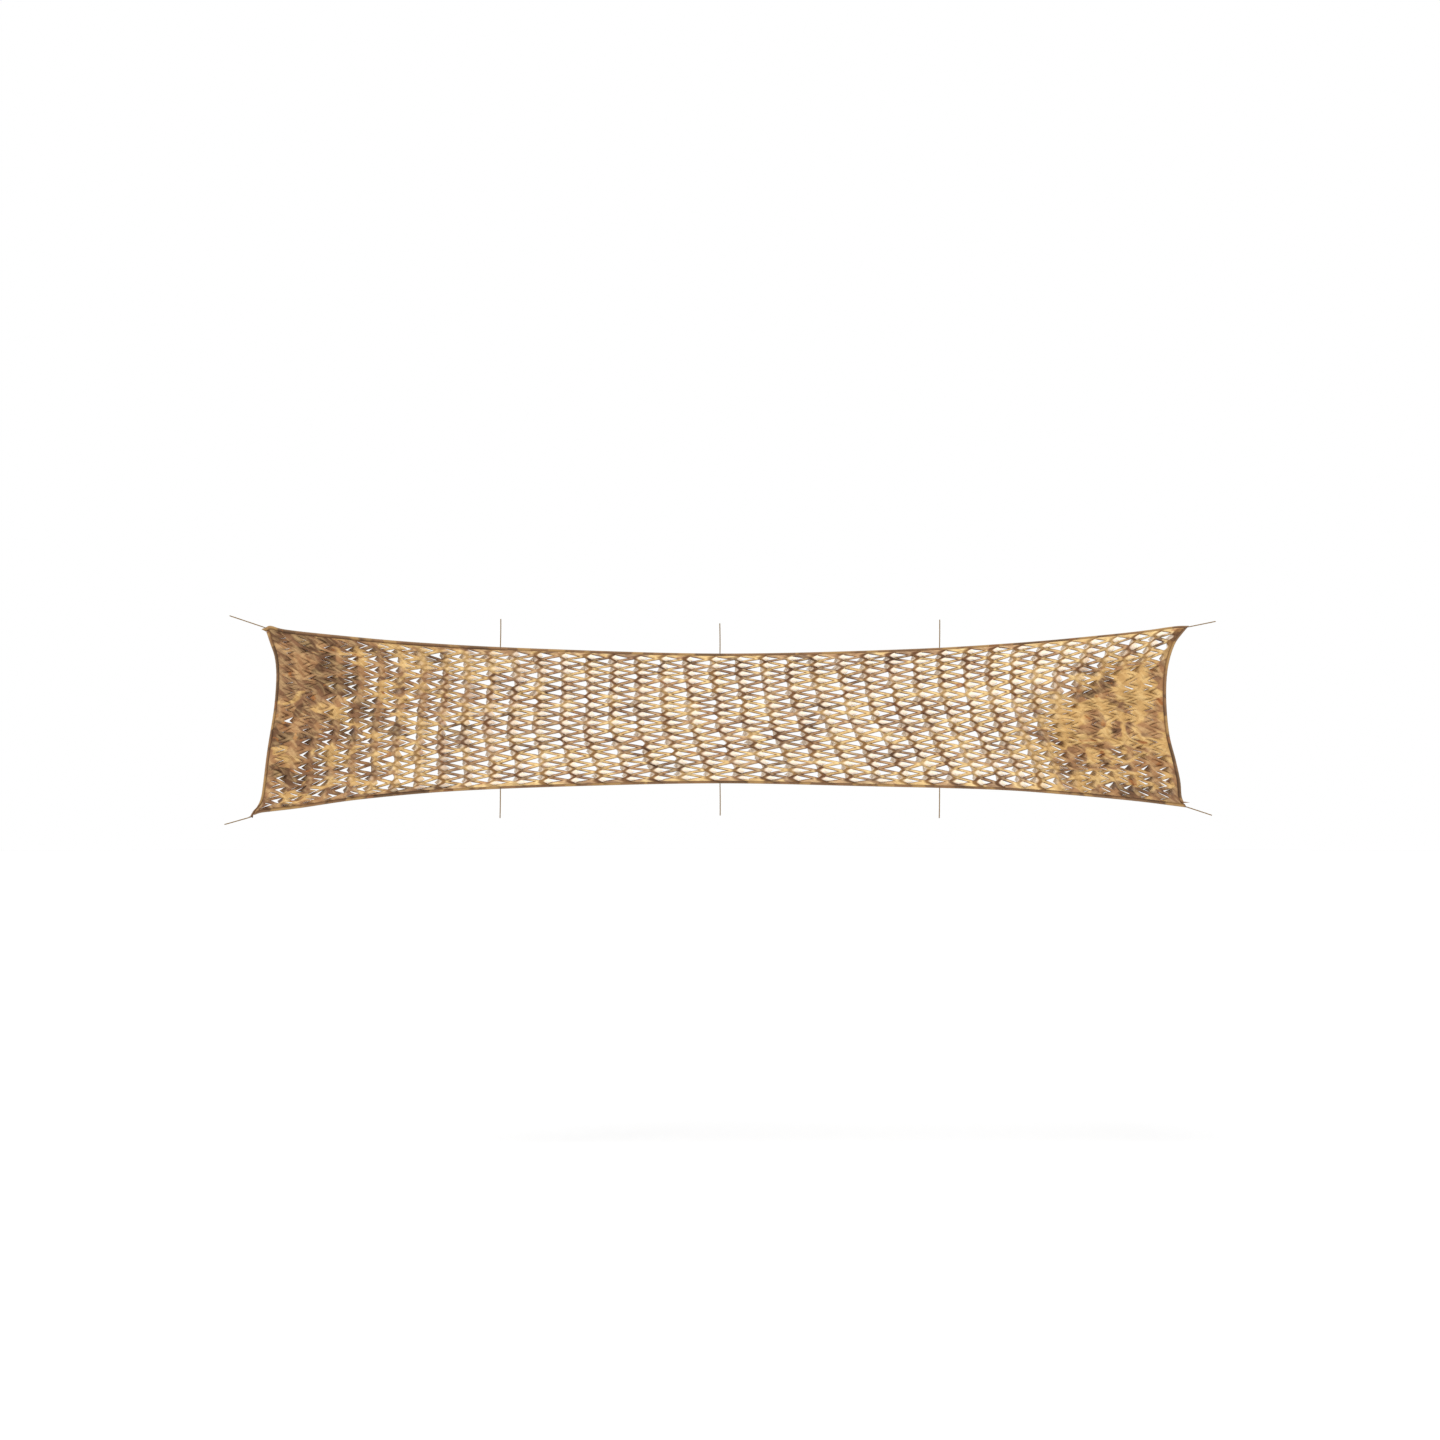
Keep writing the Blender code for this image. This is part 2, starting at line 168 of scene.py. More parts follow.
class Finish:
    """A material with one Principled shader, and the nodes that feed it."""

    def __init__(self, name, **constants):
        self.material = bpy.data.materials.new(name)
        self.material.use_nodes = True
        self.tree = self.material.node_tree
        self.shader = self.tree.nodes["Principled BSDF"]
        for socket, value in constants.items():
            self.shader.inputs[socket.replace("_", " ")].default_value = value

    def node(self, kind, settings=None, inputs=None, output=0):
        made = self.tree.nodes.new(kind)
        for key, value in (settings or {}).items():
            if key == "stops":
                self.set_stops(made.color_ramp, value)
            else:
                setattr(made, key, value)
        for key, value in (inputs or {}).items():
            self.feed(made.inputs[key], value)
        return Value(self, made.outputs[output])

    def feed(self, socket, value):
        if isinstance(value, Value):
            self.tree.links.new(value.socket, socket)
        else:
            socket.default_value = value

    @staticmethod
    def set_stops(ramp, stops):
        """Each stop is a position and a grey level."""
        for element, (position, grey) in zip(ramp.elements, (stops[0], stops[-1])):
            element.position, element.color = position, (grey, grey, grey, 1)
        for position, grey in stops[1:-1]:
            ramp.elements.new(position).color = (grey, grey, grey, 1)

    def attribute(self, name):
        return self.node("ShaderNodeAttribute", {"attribute_name": name}, output="Fac")

    def flat_coordinates(self, scale, turn=0.0, shift=(0, 0, 0)):
        """The piece's own flat cloth coordinates in metres, scaled for a pattern."""
        cloth = self.node("ShaderNodeUVMap", {"uv_map": "flat"})
        if turn:
            cloth = self.node("ShaderNodeMapping", {}, {"Vector": cloth, "Rotation": (0, 0, turn)})
        return self.node("ShaderNodeMapping", {}, {"Vector": cloth, "Scale": scale, "Location": shift})

    def noise(self, vector, scale, detail=2.0, roughness=0.5, distortion=0.0):
        inputs = {"Vector": vector, "Scale": scale, "Detail": detail, "Roughness": roughness,
                  "Distortion": distortion}
        return self.node("ShaderNodeTexNoise", {}, inputs, output="Fac")

    def step_at(self, value, level, softness):
        """0 below a level and 1 above it."""
        ramp = {"stops": ((level - softness, 0.0), (level + softness, 1.0))}
        return self.node("ShaderNodeValToRGB", ramp, {0: value})

    def mixed(self, share, low, high, how="MIX"):
        """One colour with a share of another laid over it."""
        settings = {"data_type": "RGBA", "blend_type": how}
        return self.node("ShaderNodeMix", settings, {0: share, 6: low, 7: high}, output=2)

    def finish(self, colour, height=None, bump=0.0, depth=1.0):
        """Feeds the shader, with a relief where one is given, and hands the material over."""
        self.feed(self.shader.inputs["Base Color"], colour)
        if height is not None:
            inputs = {"Height": height, "Strength": bump, "Distance": depth}
            self.feed(self.shader.inputs["Normal"], self.node("ShaderNodeBump", {}, inputs))
        return self.material


print("shader helpers ready")

# %% [markdown]
# ## How the net hangs
#
# All pieces follow the same sheet, so its shape comes first. Four smooth edges bound it, each drawn
# through a few measured points. A place inside it is mixed from the four edges, and a few long waves
# move the cloth before and behind the plane in which it hangs.

# %% Small helpers for numbers
def clamp(share):
    return min(max(share, 0.0), 1.0)


def smoothstep(share):
    share = clamp(share)
    return share * share * (3 - 2 * share)


def mix(low, high, share):
    return low + (high - low) * share


def read_off(table, place):
    """The value at a place, on straight lines between a table's pairs of place and value."""
    for (start, low), (end, high) in zip(table, table[1:]):
        if place < end:
            return mix(low, high, max(place - start, 0.0) / (end - start))
    return table[-1][1]


UNEVEN_TURNS = (12.9898, 78.233)
UNEVEN_GAIN = 43758.5453  # so large that only the last digits of the sine count


def uneven(a, b):
    """A fixed value from -1 to 1 that differs for each pair of counts."""
    wave = math.sin(UNEVEN_TURNS[0] * a + UNEVEN_TURNS[1] * b) * UNEVEN_GAIN
    return 2 * (wave - math.floor(wave)) - 1


print("one row of uneven values:", [round(uneven(count, 0), 2) for count in range(1, 6)])

# %% The four edges
# x and z of points on the hung net's outline, along each edge
TOP_EDGE = (
    (-2.441, 0.136),
    (-2.412, 0.149),
    (-2.331, 0.129),
    (-2.090, 0.102),
    (-1.607, 0.059),
    (-0.963, 0.026),
    (0.000, 0.000),
    (0.968, 0.022),
    (1.612, 0.059),
    (2.095, 0.103),
    (2.298, 0.126),
    (2.401, 0.141),
    (2.462, 0.148),
    (2.517, 0.149),
)
BOTTOM_EDGE = (
    (-2.524, -0.880),
    (-2.473, -0.857),
    (-2.400, -0.847),
    (-2.251, -0.829),
    (-1.929, -0.783),
    (-1.446, -0.740),
    (-0.802, -0.713),
    (0.000, -0.697),
    (0.807, -0.713),
    (1.451, -0.730),
    (1.827, -0.755),
    (2.210, -0.790),
    (2.503, -0.826),
)
LEFT_EDGE = (
    (-2.524, -0.880),
    (-2.505, -0.846),
    (-2.483, -0.821),
    (-2.464, -0.778),
    (-2.453, -0.712),
    (-2.429, -0.520),
    (-2.396, -0.317),
    (-2.384, -0.198),
    (-2.381, -0.097),
    (-2.390, -0.016),
    (-2.412, 0.050),
    (-2.441, 0.136),
)
RIGHT_EDGE = (
    (2.503, -0.826),
    (2.478, -0.769),
    (2.470, -0.685),
    (2.445, -0.570),
    (2.412, -0.440),
    (2.396, -0.284),
    (2.396, -0.145),
    (2.410, -0.043),
    (2.440, 0.049),
    (2.478, 0.104),
    (2.517, 0.149),
)


class Edge:
    """A smooth curve through a few points, read by its share of length."""

    STEPS = 24

    def __init__(self, points):
        path = [Vector(point) for point in points]
        path = [2 * path[0] - path[1], *path, 2 * path[-1] - path[-2]]
        self.points = []
        for a, b, c, d in zip(path, path[1:], path[2:], path[3:]):
            for step in range(self.STEPS):
                t = step / self.STEPS
                bend = (2 * a - 5 * b + 4 * c - d) * t**2 + (3 * b - a - 3 * c + d) * t**3
                self.points.append(0.5 * (2 * b + (c - a) * t + bend))
        self.points.append(path[-2])
        self.reach = [0.0]
        for before, after in zip(self.points, self.points[1:]):
            self.reach.append(self.reach[-1] + (after - before).length)
        self.length = self.reach[-1]

    def at(self, share):
        wanted = clamp(share) * self.length
        last = min(max(bisect_left(self.reach, wanted), 1), len(self.reach) - 1)
        span = self.reach[last] - self.reach[last - 1]
        return self.points[last - 1].lerp(self.points[last], (wanted - self.reach[last - 1]) / span)

    def share_at_x(self, x):
        """The share of length at which a long edge passes x."""
        last = next(i for i, point in enumerate(self.points) if point.x >= x and i > 0)
        before, after = self.points[last - 1], self.points[last]
        part = (x - before.x) / (after.x - before.x)
        return mix(self.reach[last - 1], self.reach[last], part) / self.length


TOP = Edge(TOP_EDGE)
BOTTOM = Edge(BOTTOM_EDGE)
LEFT = Edge(LEFT_EDGE)
RIGHT = Edge(RIGHT_EDGE)
MEAN_LENGTH = (TOP.length + BOTTOM.length) / 2
print(f"hung length {MEAN_LENGTH:.3f} m, heights {LEFT.length:.3f} and {RIGHT.length:.3f} m at the ends")


# %% Where the pull opens the slits
# The share of the length that stays shut at either end, against shares of the height
LEFT_SHUT = ((0.0, 0.012), (0.3, 0.030), (0.55, 0.060), (1.0, 0.074))
RIGHT_SHUT = ((0.0, 0.090), (0.3, 0.115), (0.5, 0.105), (0.75, 0.050), (0.95, 0.010))
LEFT_OPENING, RIGHT_OPENING = 0.290, 0.090  # the share of the length over which the slits then open
CORNER_PULL_LENGTH = (0.25, 0.35)  # shares of the length up to which the pull is full, and ends
CORNER_PULL_FADE = 0.7  # the share of its height over which the pull dies away
CORNER_PULL = (
    # end, edge, opening, share of the height it reaches
    (0, 0, 0.05, 0.20),
    (1, 0, 0.09, 0.32),
    (1, 1, 1.00, 0.27),
)


def height_at(u):
    return (TOP.at(u) - BOTTOM.at(u)).length


def opening(u, v):
    """How far slits are pulled open: 1 in the middle, almost 0 at the gathered ends."""
    from_left, from_right = u - read_off(LEFT_SHUT, v), 1 - u - read_off(RIGHT_SHUT, v)
    amount = smoothstep(from_left / LEFT_OPENING) * smoothstep(from_right / RIGHT_OPENING)
    full, ends = CORNER_PULL_LENGTH
    for end, edge, pull, reach in CORNER_PULL:
        near_end = smoothstep((ends - abs(u - end)) / (ends - full))
        near_edge = smoothstep((reach - abs(v - edge)) / (CORNER_PULL_FADE * reach))
        amount = max(amount, pull * near_end * near_edge)
    return amount


print("pulled open along the middle:", [round(opening(tenth / 10, 0.5), 2) for tenth in range(11)])

# %% The relief of the sheet
# Waves with their size, turns along the length, turns up the height and start in turns
BELLY = ((12 * MM, 0.97, 0.0, 0.13), (5 * MM, 2.70, 0.8, 0.00))
CRUMPLE = ((8 * MM, 3.20, 4.1, 0.10), (6 * MM, 9.50, -2.4, 0.35))
TOP_WAVE = ((5 * MM, 1.43, 0.0, 0.06),)
BOTTOM_WAVE = ((5 * MM, 1.75, 0.0, 0.35),)
CORNER_CALM = 0.06  # the edges come level over this share of the length at either end
PLEAT = 4 * MM  # how far the column lines stand behind the sheet, and the cloth between two before it
EDGE_FLAT = 25 * MM  # how wide the border is that stays level inside the tape
EDGE_BLEND = 130 * MM  # how wide the cloth is over which the waves then grow


def flat_place(u, v):
    """x and z of the sheet at share u of its length and share v of its height."""
    across = (1 - v) * BOTTOM.at(u) + v * TOP.at(u)
    along = (1 - u) * LEFT.at(v) + u * RIGHT.at(v)
    low = (1 - u) * BOTTOM.at(0) + u * BOTTOM.at(1)
    high = (1 - u) * TOP.at(0) + u * TOP.at(1)
    return across + along - (1 - v) * low - v * high


def from_edge(u, v):
    """How far a place lies from the nearest edge of the sheet."""
    height = height_at(u)
    return min(u * MEAN_LENGTH, (1 - u) * MEAN_LENGTH, v * height, (1 - v) * height)


def waves(table, u, v):
    return sum(size * math.sin(math.tau * (long * u + up * v + start)) for size, long, up, start in table)


def relief(u, v, column):
    """How far the sheet stands behind (+) or before (-) the plane it hangs in."""
    free = smoothstep((from_edge(u, v) - EDGE_FLAT) / EDGE_BLEND)
    calm = smoothstep(u / CORNER_CALM) * smoothstep((1 - u) / CORNER_CALM)
    edges = mix(waves(BOTTOM_WAVE, u, v), waves(TOP_WAVE, u, v), v) * calm
    pull = opening(u, v)
    pleats = PLEAT * math.cos(math.tau * column) * pull
    return edges + (waves(BELLY, u, v) + pleats + waves(CRUMPLE, u, v) * (1 - pull)) * free


def sheet_point(u, v, column=0.0):
    """A place on the hung sheet. The column says where it lies between two pleats."""
    place = flat_place(u, v)
    return Vector((place.x, relief(u, v, column), place.y))


print("middle of the sheet:", [round(c, 3) for c in sheet_point(0.5, 0.5)])


# %% One way to put a finished mesh into the scene
def add_piece(name, mesh, material):
    for face in mesh.faces:
        face.smooth = True
    data = bpy.data.meshes.new(name)
    mesh.to_mesh(data)
    mesh.free()
    data.materials.append(material)
    piece = bpy.data.objects.new(name, data)
    scene.collection.objects.link(piece)
    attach(piece, "root")
    return piece


# %% [markdown]
# ## Cord ties
#
# Each tie is a short length of pale three-strand cord, sewn into the tape and pulled straight, with
# its end cut off square. One round tube would look like wire. A ring with three lobes, spun upwards
# with a twist, gives the strands; it is then laid along the line of the tie.

# %% Cord finish
CORD_DARK, CORD_PALE = (0.115, 0.062, 0.008, 1), (0.215, 0.120, 0.018, 1)
CORD_AGED, CORD_WORN = (0.160, 0.092, 0.014, 1), (0.200, 0.140, 0.070, 1)


def make_cord_finish():
    finish = Finish("twisted_cord", Roughness=0.85, Specular_IOR_Level=0.3)
    fibre = finish.noise(finish.flat_coordinates((900, 220, 1)), 1.0, detail=2.0)
    blotch = finish.noise(finish.flat_coordinates((20, 30, 1)), 1.0, detail=1.0)
    clean = finish.mixed(fibre, CORD_DARK, CORD_PALE)
    aged = finish.mixed(blotch * 0.5, clean, CORD_AGED)
    colour = finish.mixed(finish.attribute("worn") * 0.4, aged, CORD_WORN)
    return finish.finish(colour, height=fibre, bump=0.5, depth=0.4 * MM)


cord_finish = make_cord_finish()
print("finish:", cord_finish.name)

# %% Where the ties run
# Ties sewn in at the corners: name, then x and z of the root and of the free end
CORNER_TIES = (
    ("tie_top_left_corner", (-2.4441, 0.1398), (-2.6314, 0.2026)),
    ("tie_top_right_corner", (2.5157, 0.1431), (2.6590, 0.1722)),
    ("tie_bottom_left_corner", (-2.5213, -0.8785), (-2.6585, -0.9175)),
    ("tie_bottom_right_corner", (2.5039, -0.8236), (2.6390, -0.8680)),
)
# Ties sewn in along the two long edges: name, whether on the top edge, root x, free end x, length
EDGE_TIES = (
    ("tie_top_left", True, -1.178, -1.176, 0.150),
    ("tie_top_middle", True, 0.000, -0.001, 0.161),
    ("tie_top_right", True, 1.178, 1.179, 0.150),
    ("tie_bottom_left", False, -1.178, -1.180, 0.156),
    ("tie_bottom_middle", False, 0.000, 0.001, 0.172),
    ("tie_bottom_right", False, 1.178, 1.176, 0.161),
)
TIE_DIAMETER = 6 * MM
TIE_SEAT = 0.7 * MM  # from the tape's fold to the cord's root
TIE_BOW = Vector((0.6 * MM, 1.5 * MM, 0.0))  # how far a tie stands off a straight line half way along


def tie_lines():
    for name, root, end in CORNER_TIES:
        yield name, Vector((root[0], 0, root[1])), Vector((end[0], 0, end[1]))
    for name, on_top, root_x, end_x, length in EDGE_TIES:
        edge, v, up = (TOP, 1, 1) if on_top else (BOTTOM, 0, -1)
        root = sheet_point(edge.share_at_x(root_x), v) + Vector((0, 0, up * TIE_SEAT))
        yield name, root, Vector((end_x, root.y, root.z + up * length))


def along_tie(root, end, share):
    return root.lerp(end, share) + TIE_BOW * math.sin(math.pi * share)


print("ties:", len(list(tie_lines())))

# %% Twisted cord along a line
STRANDS = 3
RING_POINTS = 15
LOBE = 0.13  # how far the strands swing the ring's radius to either side, as a share of it
TWIST_LENGTH = 16 * MM  # one full turn of the strands
TWIST_STEP = 1.6 * MM
PATH_STEPS = 16
WORN_ENDS = (0.05, 0.14)  # the shares of a tie over which its ends are handled and grey


def twisted_tube(length):
    """A straight tube of three strands, standing on the origin."""
    mesh = bmesh.new()
    ring = bmesh.ops.create_circle(mesh, segments=RING_POINTS, radius=1.0)["verts"]
    for vert in ring:
        lobe = 1 - LOBE + LOBE * math.cos(STRANDS * math.atan2(vert.co.y, vert.co.x))
        vert.co *= lobe * TIE_DIAMETER / 2
    steps = round(length / TWIST_STEP)
    bmesh.ops.spin(mesh, geom=ring + mesh.edges[:], cent=(0, 0, 0), axis=(0, 0, 1), use_merge=False,
                   dvec=(0, 0, length / steps), angle=math.tau * length / TWIST_LENGTH, steps=steps)
    bmesh.ops.holes_fill(mesh, edges=[edge for edge in mesh.edges if edge.is_boundary], sides=0)
    bmesh.ops.recalc_face_normals(mesh, faces=mesh.faces)
    return mesh


def add_flat_layer(mesh, place):
    """Writes each corner's flat cloth coordinates, in metres."""
    layer = mesh.loops.layers.uv.new("flat")
    for face in mesh.faces:
        for loop in face.loops:
            loop[layer].uv = place(loop.vert)


def make_tie(name, root, end):
    length = (end - root).length
    mesh = twisted_tube(length)
    worn = mesh.verts.layers.float.new("worn")
    add_flat_layer(mesh, lambda vert: (math.atan2(vert.co.y, vert.co.x) * TIE_DIAMETER / 2, vert.co.z))
    turn = (end - root).to_track_quat("Z", "Y").to_matrix()
    for vert in mesh.verts:
        share = vert.co.z / length
        near, far = WORN_ENDS
        vert[worn] = max(1 - smoothstep(share / far), smoothstep((share - 1 + near) / near))
        across = turn @ Vector((vert.co.x, vert.co.y, 0))
        vert.co = along_tie(root, end, share) + across
    tie = add_piece(name + "_cord", mesh, cord_finish)
    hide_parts(name)
    path = [along_tie(root, end, step / PATH_STEPS) for step in range(PATH_STEPS + 1)]
    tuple(root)
    print(f"{name}: {length * 1000:.0f} mm")


for line in tie_lines():
    make_tie(*line)

# %% [markdown]
# ## Edge tapes
#
# The cloth's raw edge is closed in a woven tape, 20 mm wide when folded, in the same print as the
# net. A strip of grid faces is bent over the edge: its two rims lie on the front and the back of the
# cloth, and its middle rounds the fold. Solidify gives the strip its thickness.

# %% Lines along the four edges
TAPE_WIDTH = 20 * MM
TAPE_THICK = 1.2 * MM
BUTT_GAP = 2 * MM  # between two tapes where one ends against the other
SLANT_GAP = 9 * MM  # the same at the lower left, where the left tape runs off at a slant
SQUARE_END = ((-2.529, -0.872), (-2.507, -0.882))  # x and z of the left tape's outer and inner corner
TOP_TAIL = Vector((-0.020, 0, -0.006))  # how far the top tape's left end sticks out past its corner
RIGHT_TAIL = Vector((0.028, 0, 0.006))  # the same at the right tape's lower end
TAIL_DEPTH = 12 * MM  # how far back from the end a tail begins
LONG_STEP = 21 * MM  # between two stations of a tape, on average
CORNER_CROWDING = 0.8  # how much closer they stand at the corners: 0 is not at all, 1 the most


def station_shares(first, last, count):
    """Shares of an edge's length, closer together towards the corners, where the edge turns."""
    steps = [step / count for step in range(count + 1)]
    shares = [step - CORNER_CROWDING * math.sin(math.tau * step) / math.tau for step in steps]
    return [mix(first, last, share) for share in shares]


def long_stations(first, last, top):
    count = round(MEAN_LENGTH / LONG_STEP)
    stations = []
    for u in station_shares(first, last, count):
        width = TAPE_WIDTH / height_at(u)
        shares = ((u, 1), (u, 1 - width)) if top else ((u, 0), (u, width))
        stations.append([sheet_point(*share) for share in shares])
    return stations


def short_stations(first, last, left):
    count = round(LEFT.length / LONG_STEP)
    width = TAPE_WIDTH / MEAN_LENGTH
    edge, inner = (0, width) if left else (1, 1 - width)
    return [[sheet_point(edge, v), sheet_point(inner, v)] for v in station_shares(first, last, count)]


def with_tail(stations, tail):
    """Draws the last station's outer corner out into a tail, close to the tape's end."""
    before = next(s for s in reversed(stations) if (s[0] - stations[-1][0]).length > TAIL_DEPTH)
    kept = stations[:stations.index(before) + 1]
    last = stations[-1]
    part = 1 - TAIL_DEPTH / (last[0] - before[0]).length
    shoulder = [low.lerp(high, part) for low, high in zip(before, last)]
    return [*kept, shoulder, [last[0] + tail, last[1]]]


def tape_lines():
    butt = (TAPE_WIDTH + SLANT_GAP) / MEAN_LENGTH
    left_top = 1 - (TAPE_WIDTH + BUTT_GAP) / height_at(0)
    right_top = 1 - (TAPE_WIDTH + BUTT_GAP) / height_at(1)
    right_bottom = (TAPE_WIDTH + BUTT_GAP) / height_at(1)
    left = short_stations(0, left_top, True)
    left[0] = [Vector((x, 0, z)) for x, z in SQUARE_END]
    return (
        ("binding_top", with_tail(long_stations(0, 1, True)[::-1], TOP_TAIL)),
        ("binding_bottom", long_stations(butt, 1, False)),
        ("binding_left", left),
        ("binding_right", with_tail(short_stations(right_bottom, right_top, False)[::-1], RIGHT_TAIL)),
    )


TAPE_LINES = tape_lines()
print("tape stations:", {name: len(stations) for name, stations in TAPE_LINES})

# %% [markdown]
# The print is the same on cloth and tape, so one helper makes it for both. Camouflage is printed
# one colour at a time, each screen leaving irregular patches with fairly sharp rims. Noise on the
# flat cloth coordinates, cut at one level for each screen, does the same.

# %% Camouflage print
UMBER = (0.113, 0.055, 0.026, 1)
BROWN = (0.184, 0.091, 0.044, 1)
TAN = (0.287, 0.147, 0.064, 1)
SAND = (0.455, 0.272, 0.100, 1)
RUST = (0.260, 0.100, 0.030, 1)
PATCH_RIM = 0.018  # how soft a patch's rim is
PATCH_DETAIL = 2.5
PATCH_CURL = 0.5


def camouflage(finish, stretch=(1.0, 1.0), drift=0.3):
    """The printed colour: a tan ground, then brown, sand, umber and a little rust.

    The drift moves it from dark patches, at 0 and below, to sand at 1.
    """

    def screen(scale, shift, level):
        place = finish.flat_coordinates((scale[0] * stretch[0], scale[1] * stretch[1], 1), shift=shift)
        patches = finish.noise(place, 1.0, detail=PATCH_DETAIL, distortion=PATCH_CURL)
        return finish.step_at(patches - level, 0.5, PATCH_RIM)

    colour = finish.mixed(screen((3.9, 7.6), (1.3, 4.1, 0), 0.06 * drift - 0.01), TAN, BROWN)
    colour = finish.mixed(screen((4.4, 8.8), (7.7, 2.9, 0), 0.07 - 0.10 * drift), colour, SAND)
    colour = finish.mixed(screen((3.8, 7.6), (3.4, 9.6, 0), 0.085 + 0.08 * drift), colour, UMBER)
    return finish.mixed(screen((9.0, 17.0), (5.1, 6.2, 0), 0.17), colour, RUST)


WAVE_TURN = 20  # radians that a wave texture's bands turn over one unit


def weave(finish, pitch):
    """Two crossed sets of ribs, as a height from 0 to 1."""

    def ribs(turn):
        settings = {"wave_type": "BANDS", "bands_direction": "X"}
        place = finish.flat_coordinates((1, 1, 1), turn=turn)
        inputs = {"Vector": place, "Scale": math.tau / (pitch * WAVE_TURN), "Distortion": 0.0}
        return finish.node("ShaderNodeTexWave", settings, inputs, output="Fac")

    return ribs(0.0) * 0.5 + ribs(math.pi / 2) * 0.5


print("print: four colours on", TAN)


# %% Tape finish
RIB_PITCH = 7.54 * MM
TAPE_SHADE = (0.64, 0.62, 0.60, 1)
# Dust, and a lighter fold that is partly wear and partly a painted highlight
TAPE_DUST, FOLD_WEAR_AND_HIGHLIGHT = (0.30, 0.20, 0.11, 1), (0.36, 0.25, 0.14, 1)
# Painted shade on the tape towards its stitched inner rim
SEAM_SHADE = (0.45, 0.36, 0.28, 1)


def make_tape_finish():
    finish = Finish("printed_tape_weave", Roughness=0.9, Specular_IOR_Level=0.25)
    print_colour = camouflage(finish, stretch=(1.2, 0.5))
    dust = finish.noise(finish.flat_coordinates((60, 60, 1)), 1.0, detail=3.0)
    colour = finish.mixed(1.0, print_colour, TAPE_SHADE, "MULTIPLY")
    colour = finish.mixed(dust * 0.25, colour, TAPE_DUST)
    # The fold lighter: partly wear, partly a painted highlight
    colour = finish.mixed(finish.attribute("fold") * 0.45, colour, FOLD_WEAR_AND_HIGHLIGHT)
    # Painted shade from 12 mm in to the tape's stitched inner rim
    colour = finish.mixed(finish.attribute("seam") * 0.75, colour, SEAM_SHADE, "MULTIPLY")
    ribs = weave(finish, RIB_PITCH)
    pucker = finish.noise(finish.flat_coordinates((90, 25, 1)), 1.0, detail=1.0)
    return finish.finish(colour, height=ribs * 0.15 + pucker, bump=0.6, depth=1.5 * MM)


tape_finish = make_tape_finish()
print("finish:", tape_finish.name)

# %% Tape bent over the edge
# Across the tape: how far in from the fold, and how far off the sheet's middle
TAPE_PROFILE = (
    (20.0 * MM, 1.5 * MM),
    (16.5 * MM, 1.4 * MM),
    (10.0 * MM, 2.3 * MM),
    (3.5 * MM, 2.2 * MM),
    (1.0 * MM, 1.5 * MM),
)
FOLD_INSET = 0.6 * MM
LIGHTER_FOLD_OVER = 6 * MM
PROFILE_STEP = 4 * MM  # across the flat tape, from one point of the profile to the next
SEAM_SHADE_FROM = 12 * MM  # painted shade darkens the tape from here to its inner rim, where it is stitched


def tape_profile():
    front = [(inset, -off) for inset, off in TAPE_PROFILE]
    back = [(inset, off) for inset, off in reversed(TAPE_PROFILE)]
    return [*front, (FOLD_INSET, 0.0), *back]


def make_tape(name, stations):
    profile = tape_profile()
    mesh = bmesh.new()
    bmesh.ops.create_grid(mesh, x_segments=len(stations) - 1, y_segments=len(profile) - 1, size=1)
    fold = mesh.verts.layers.float.new("fold")
    seam = mesh.verts.layers.float.new("seam")
    walked = [0.0]
    for before, after in zip(stations, stations[1:]):
        walked.append(walked[-1] + (after[0] - before[0]).length)
    spots = {}
    for vert in mesh.verts:
        i = round((vert.co.x + 1) / 2 * (len(stations) - 1))
        j = round((vert.co.y + 1) / 2 * (len(profile) - 1))
        outer, inner = stations[i]
        inset, off = profile[j]
        # How much wear and painted highlight the fold gets
        vert[fold] = 1 - smoothstep(inset / LIGHTER_FOLD_OVER)
        # Where the tape gets its painted shade
        vert[seam] = 1.0 if inset > SEAM_SHADE_FROM else 0.0
        vert.co = outer.lerp(inner, inset / TAPE_WIDTH) + Vector((0, off, 0))
        spots[vert] = (walked[i], j * PROFILE_STEP)
    add_flat_layer(mesh, lambda vert: spots[vert])
    bmesh.ops.recalc_face_normals(mesh, faces=mesh.faces)
    tape = add_piece(name + "_tape", mesh, tape_finish)
    wall = tape.modifiers.new("thickness", "SOLIDIFY")
    wall.thickness = TAPE_THICK
    wall.offset = 0.0
    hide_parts(name)
    print(f"{name}: {walked[-1]:.3f} m of tape")
    return tape


tapes = [make_tape(*line) for line in TAPE_LINES]

# %% [markdown]
# ## Stitches
#
# One row of lockstitches holds each tape near its inner rim, the same on the front and the back, and
# a few stitches side by side, a bar tack, hold each tie. A stitch is a slim bead of thread lying
# half in the tape. There are thousands, so each has only twenty faces, and all are one mesh.

# %% Thread finish
THREAD_DARK, THREAD_PALE = (0.060, 0.034, 0.018, 1), (0.120, 0.070, 0.036, 1)


def make_thread_finish():
    finish = Finish("brown_thread", Roughness=0.6, Specular_IOR_Level=0.4)
    place = finish.node("ShaderNodeTexCoord", output="Object")
    dyed = finish.noise(place, 40.0, detail=1.0)
    return finish.finish(finish.mixed(dyed, THREAD_DARK, THREAD_PALE))


thread_finish = make_thread_finish()
print("finish:", thread_finish.name)

# %% Rows of stitches
STITCH_PITCH = 8 * MM
STITCH_SIZE = Vector((2.7, 0.45, 0.45)) * MM  # half of its length, height and width
SEAM_INSET = 16.5 * MM
SEAM_LEVEL = 2.05 * MM  # how far the tape's outside lies off the sheet's middle there
TACK_STITCHES = 5  # side by side over the end of a tie
TACK_INSETS = (2.0 * MM, 7.5 * MM)  # how far in from the tape's fold each row of them lies
TACK_PITCH = 1.1 * MM
TACK_LEVEL = 2.75 * MM
BEAD_FACES = 20


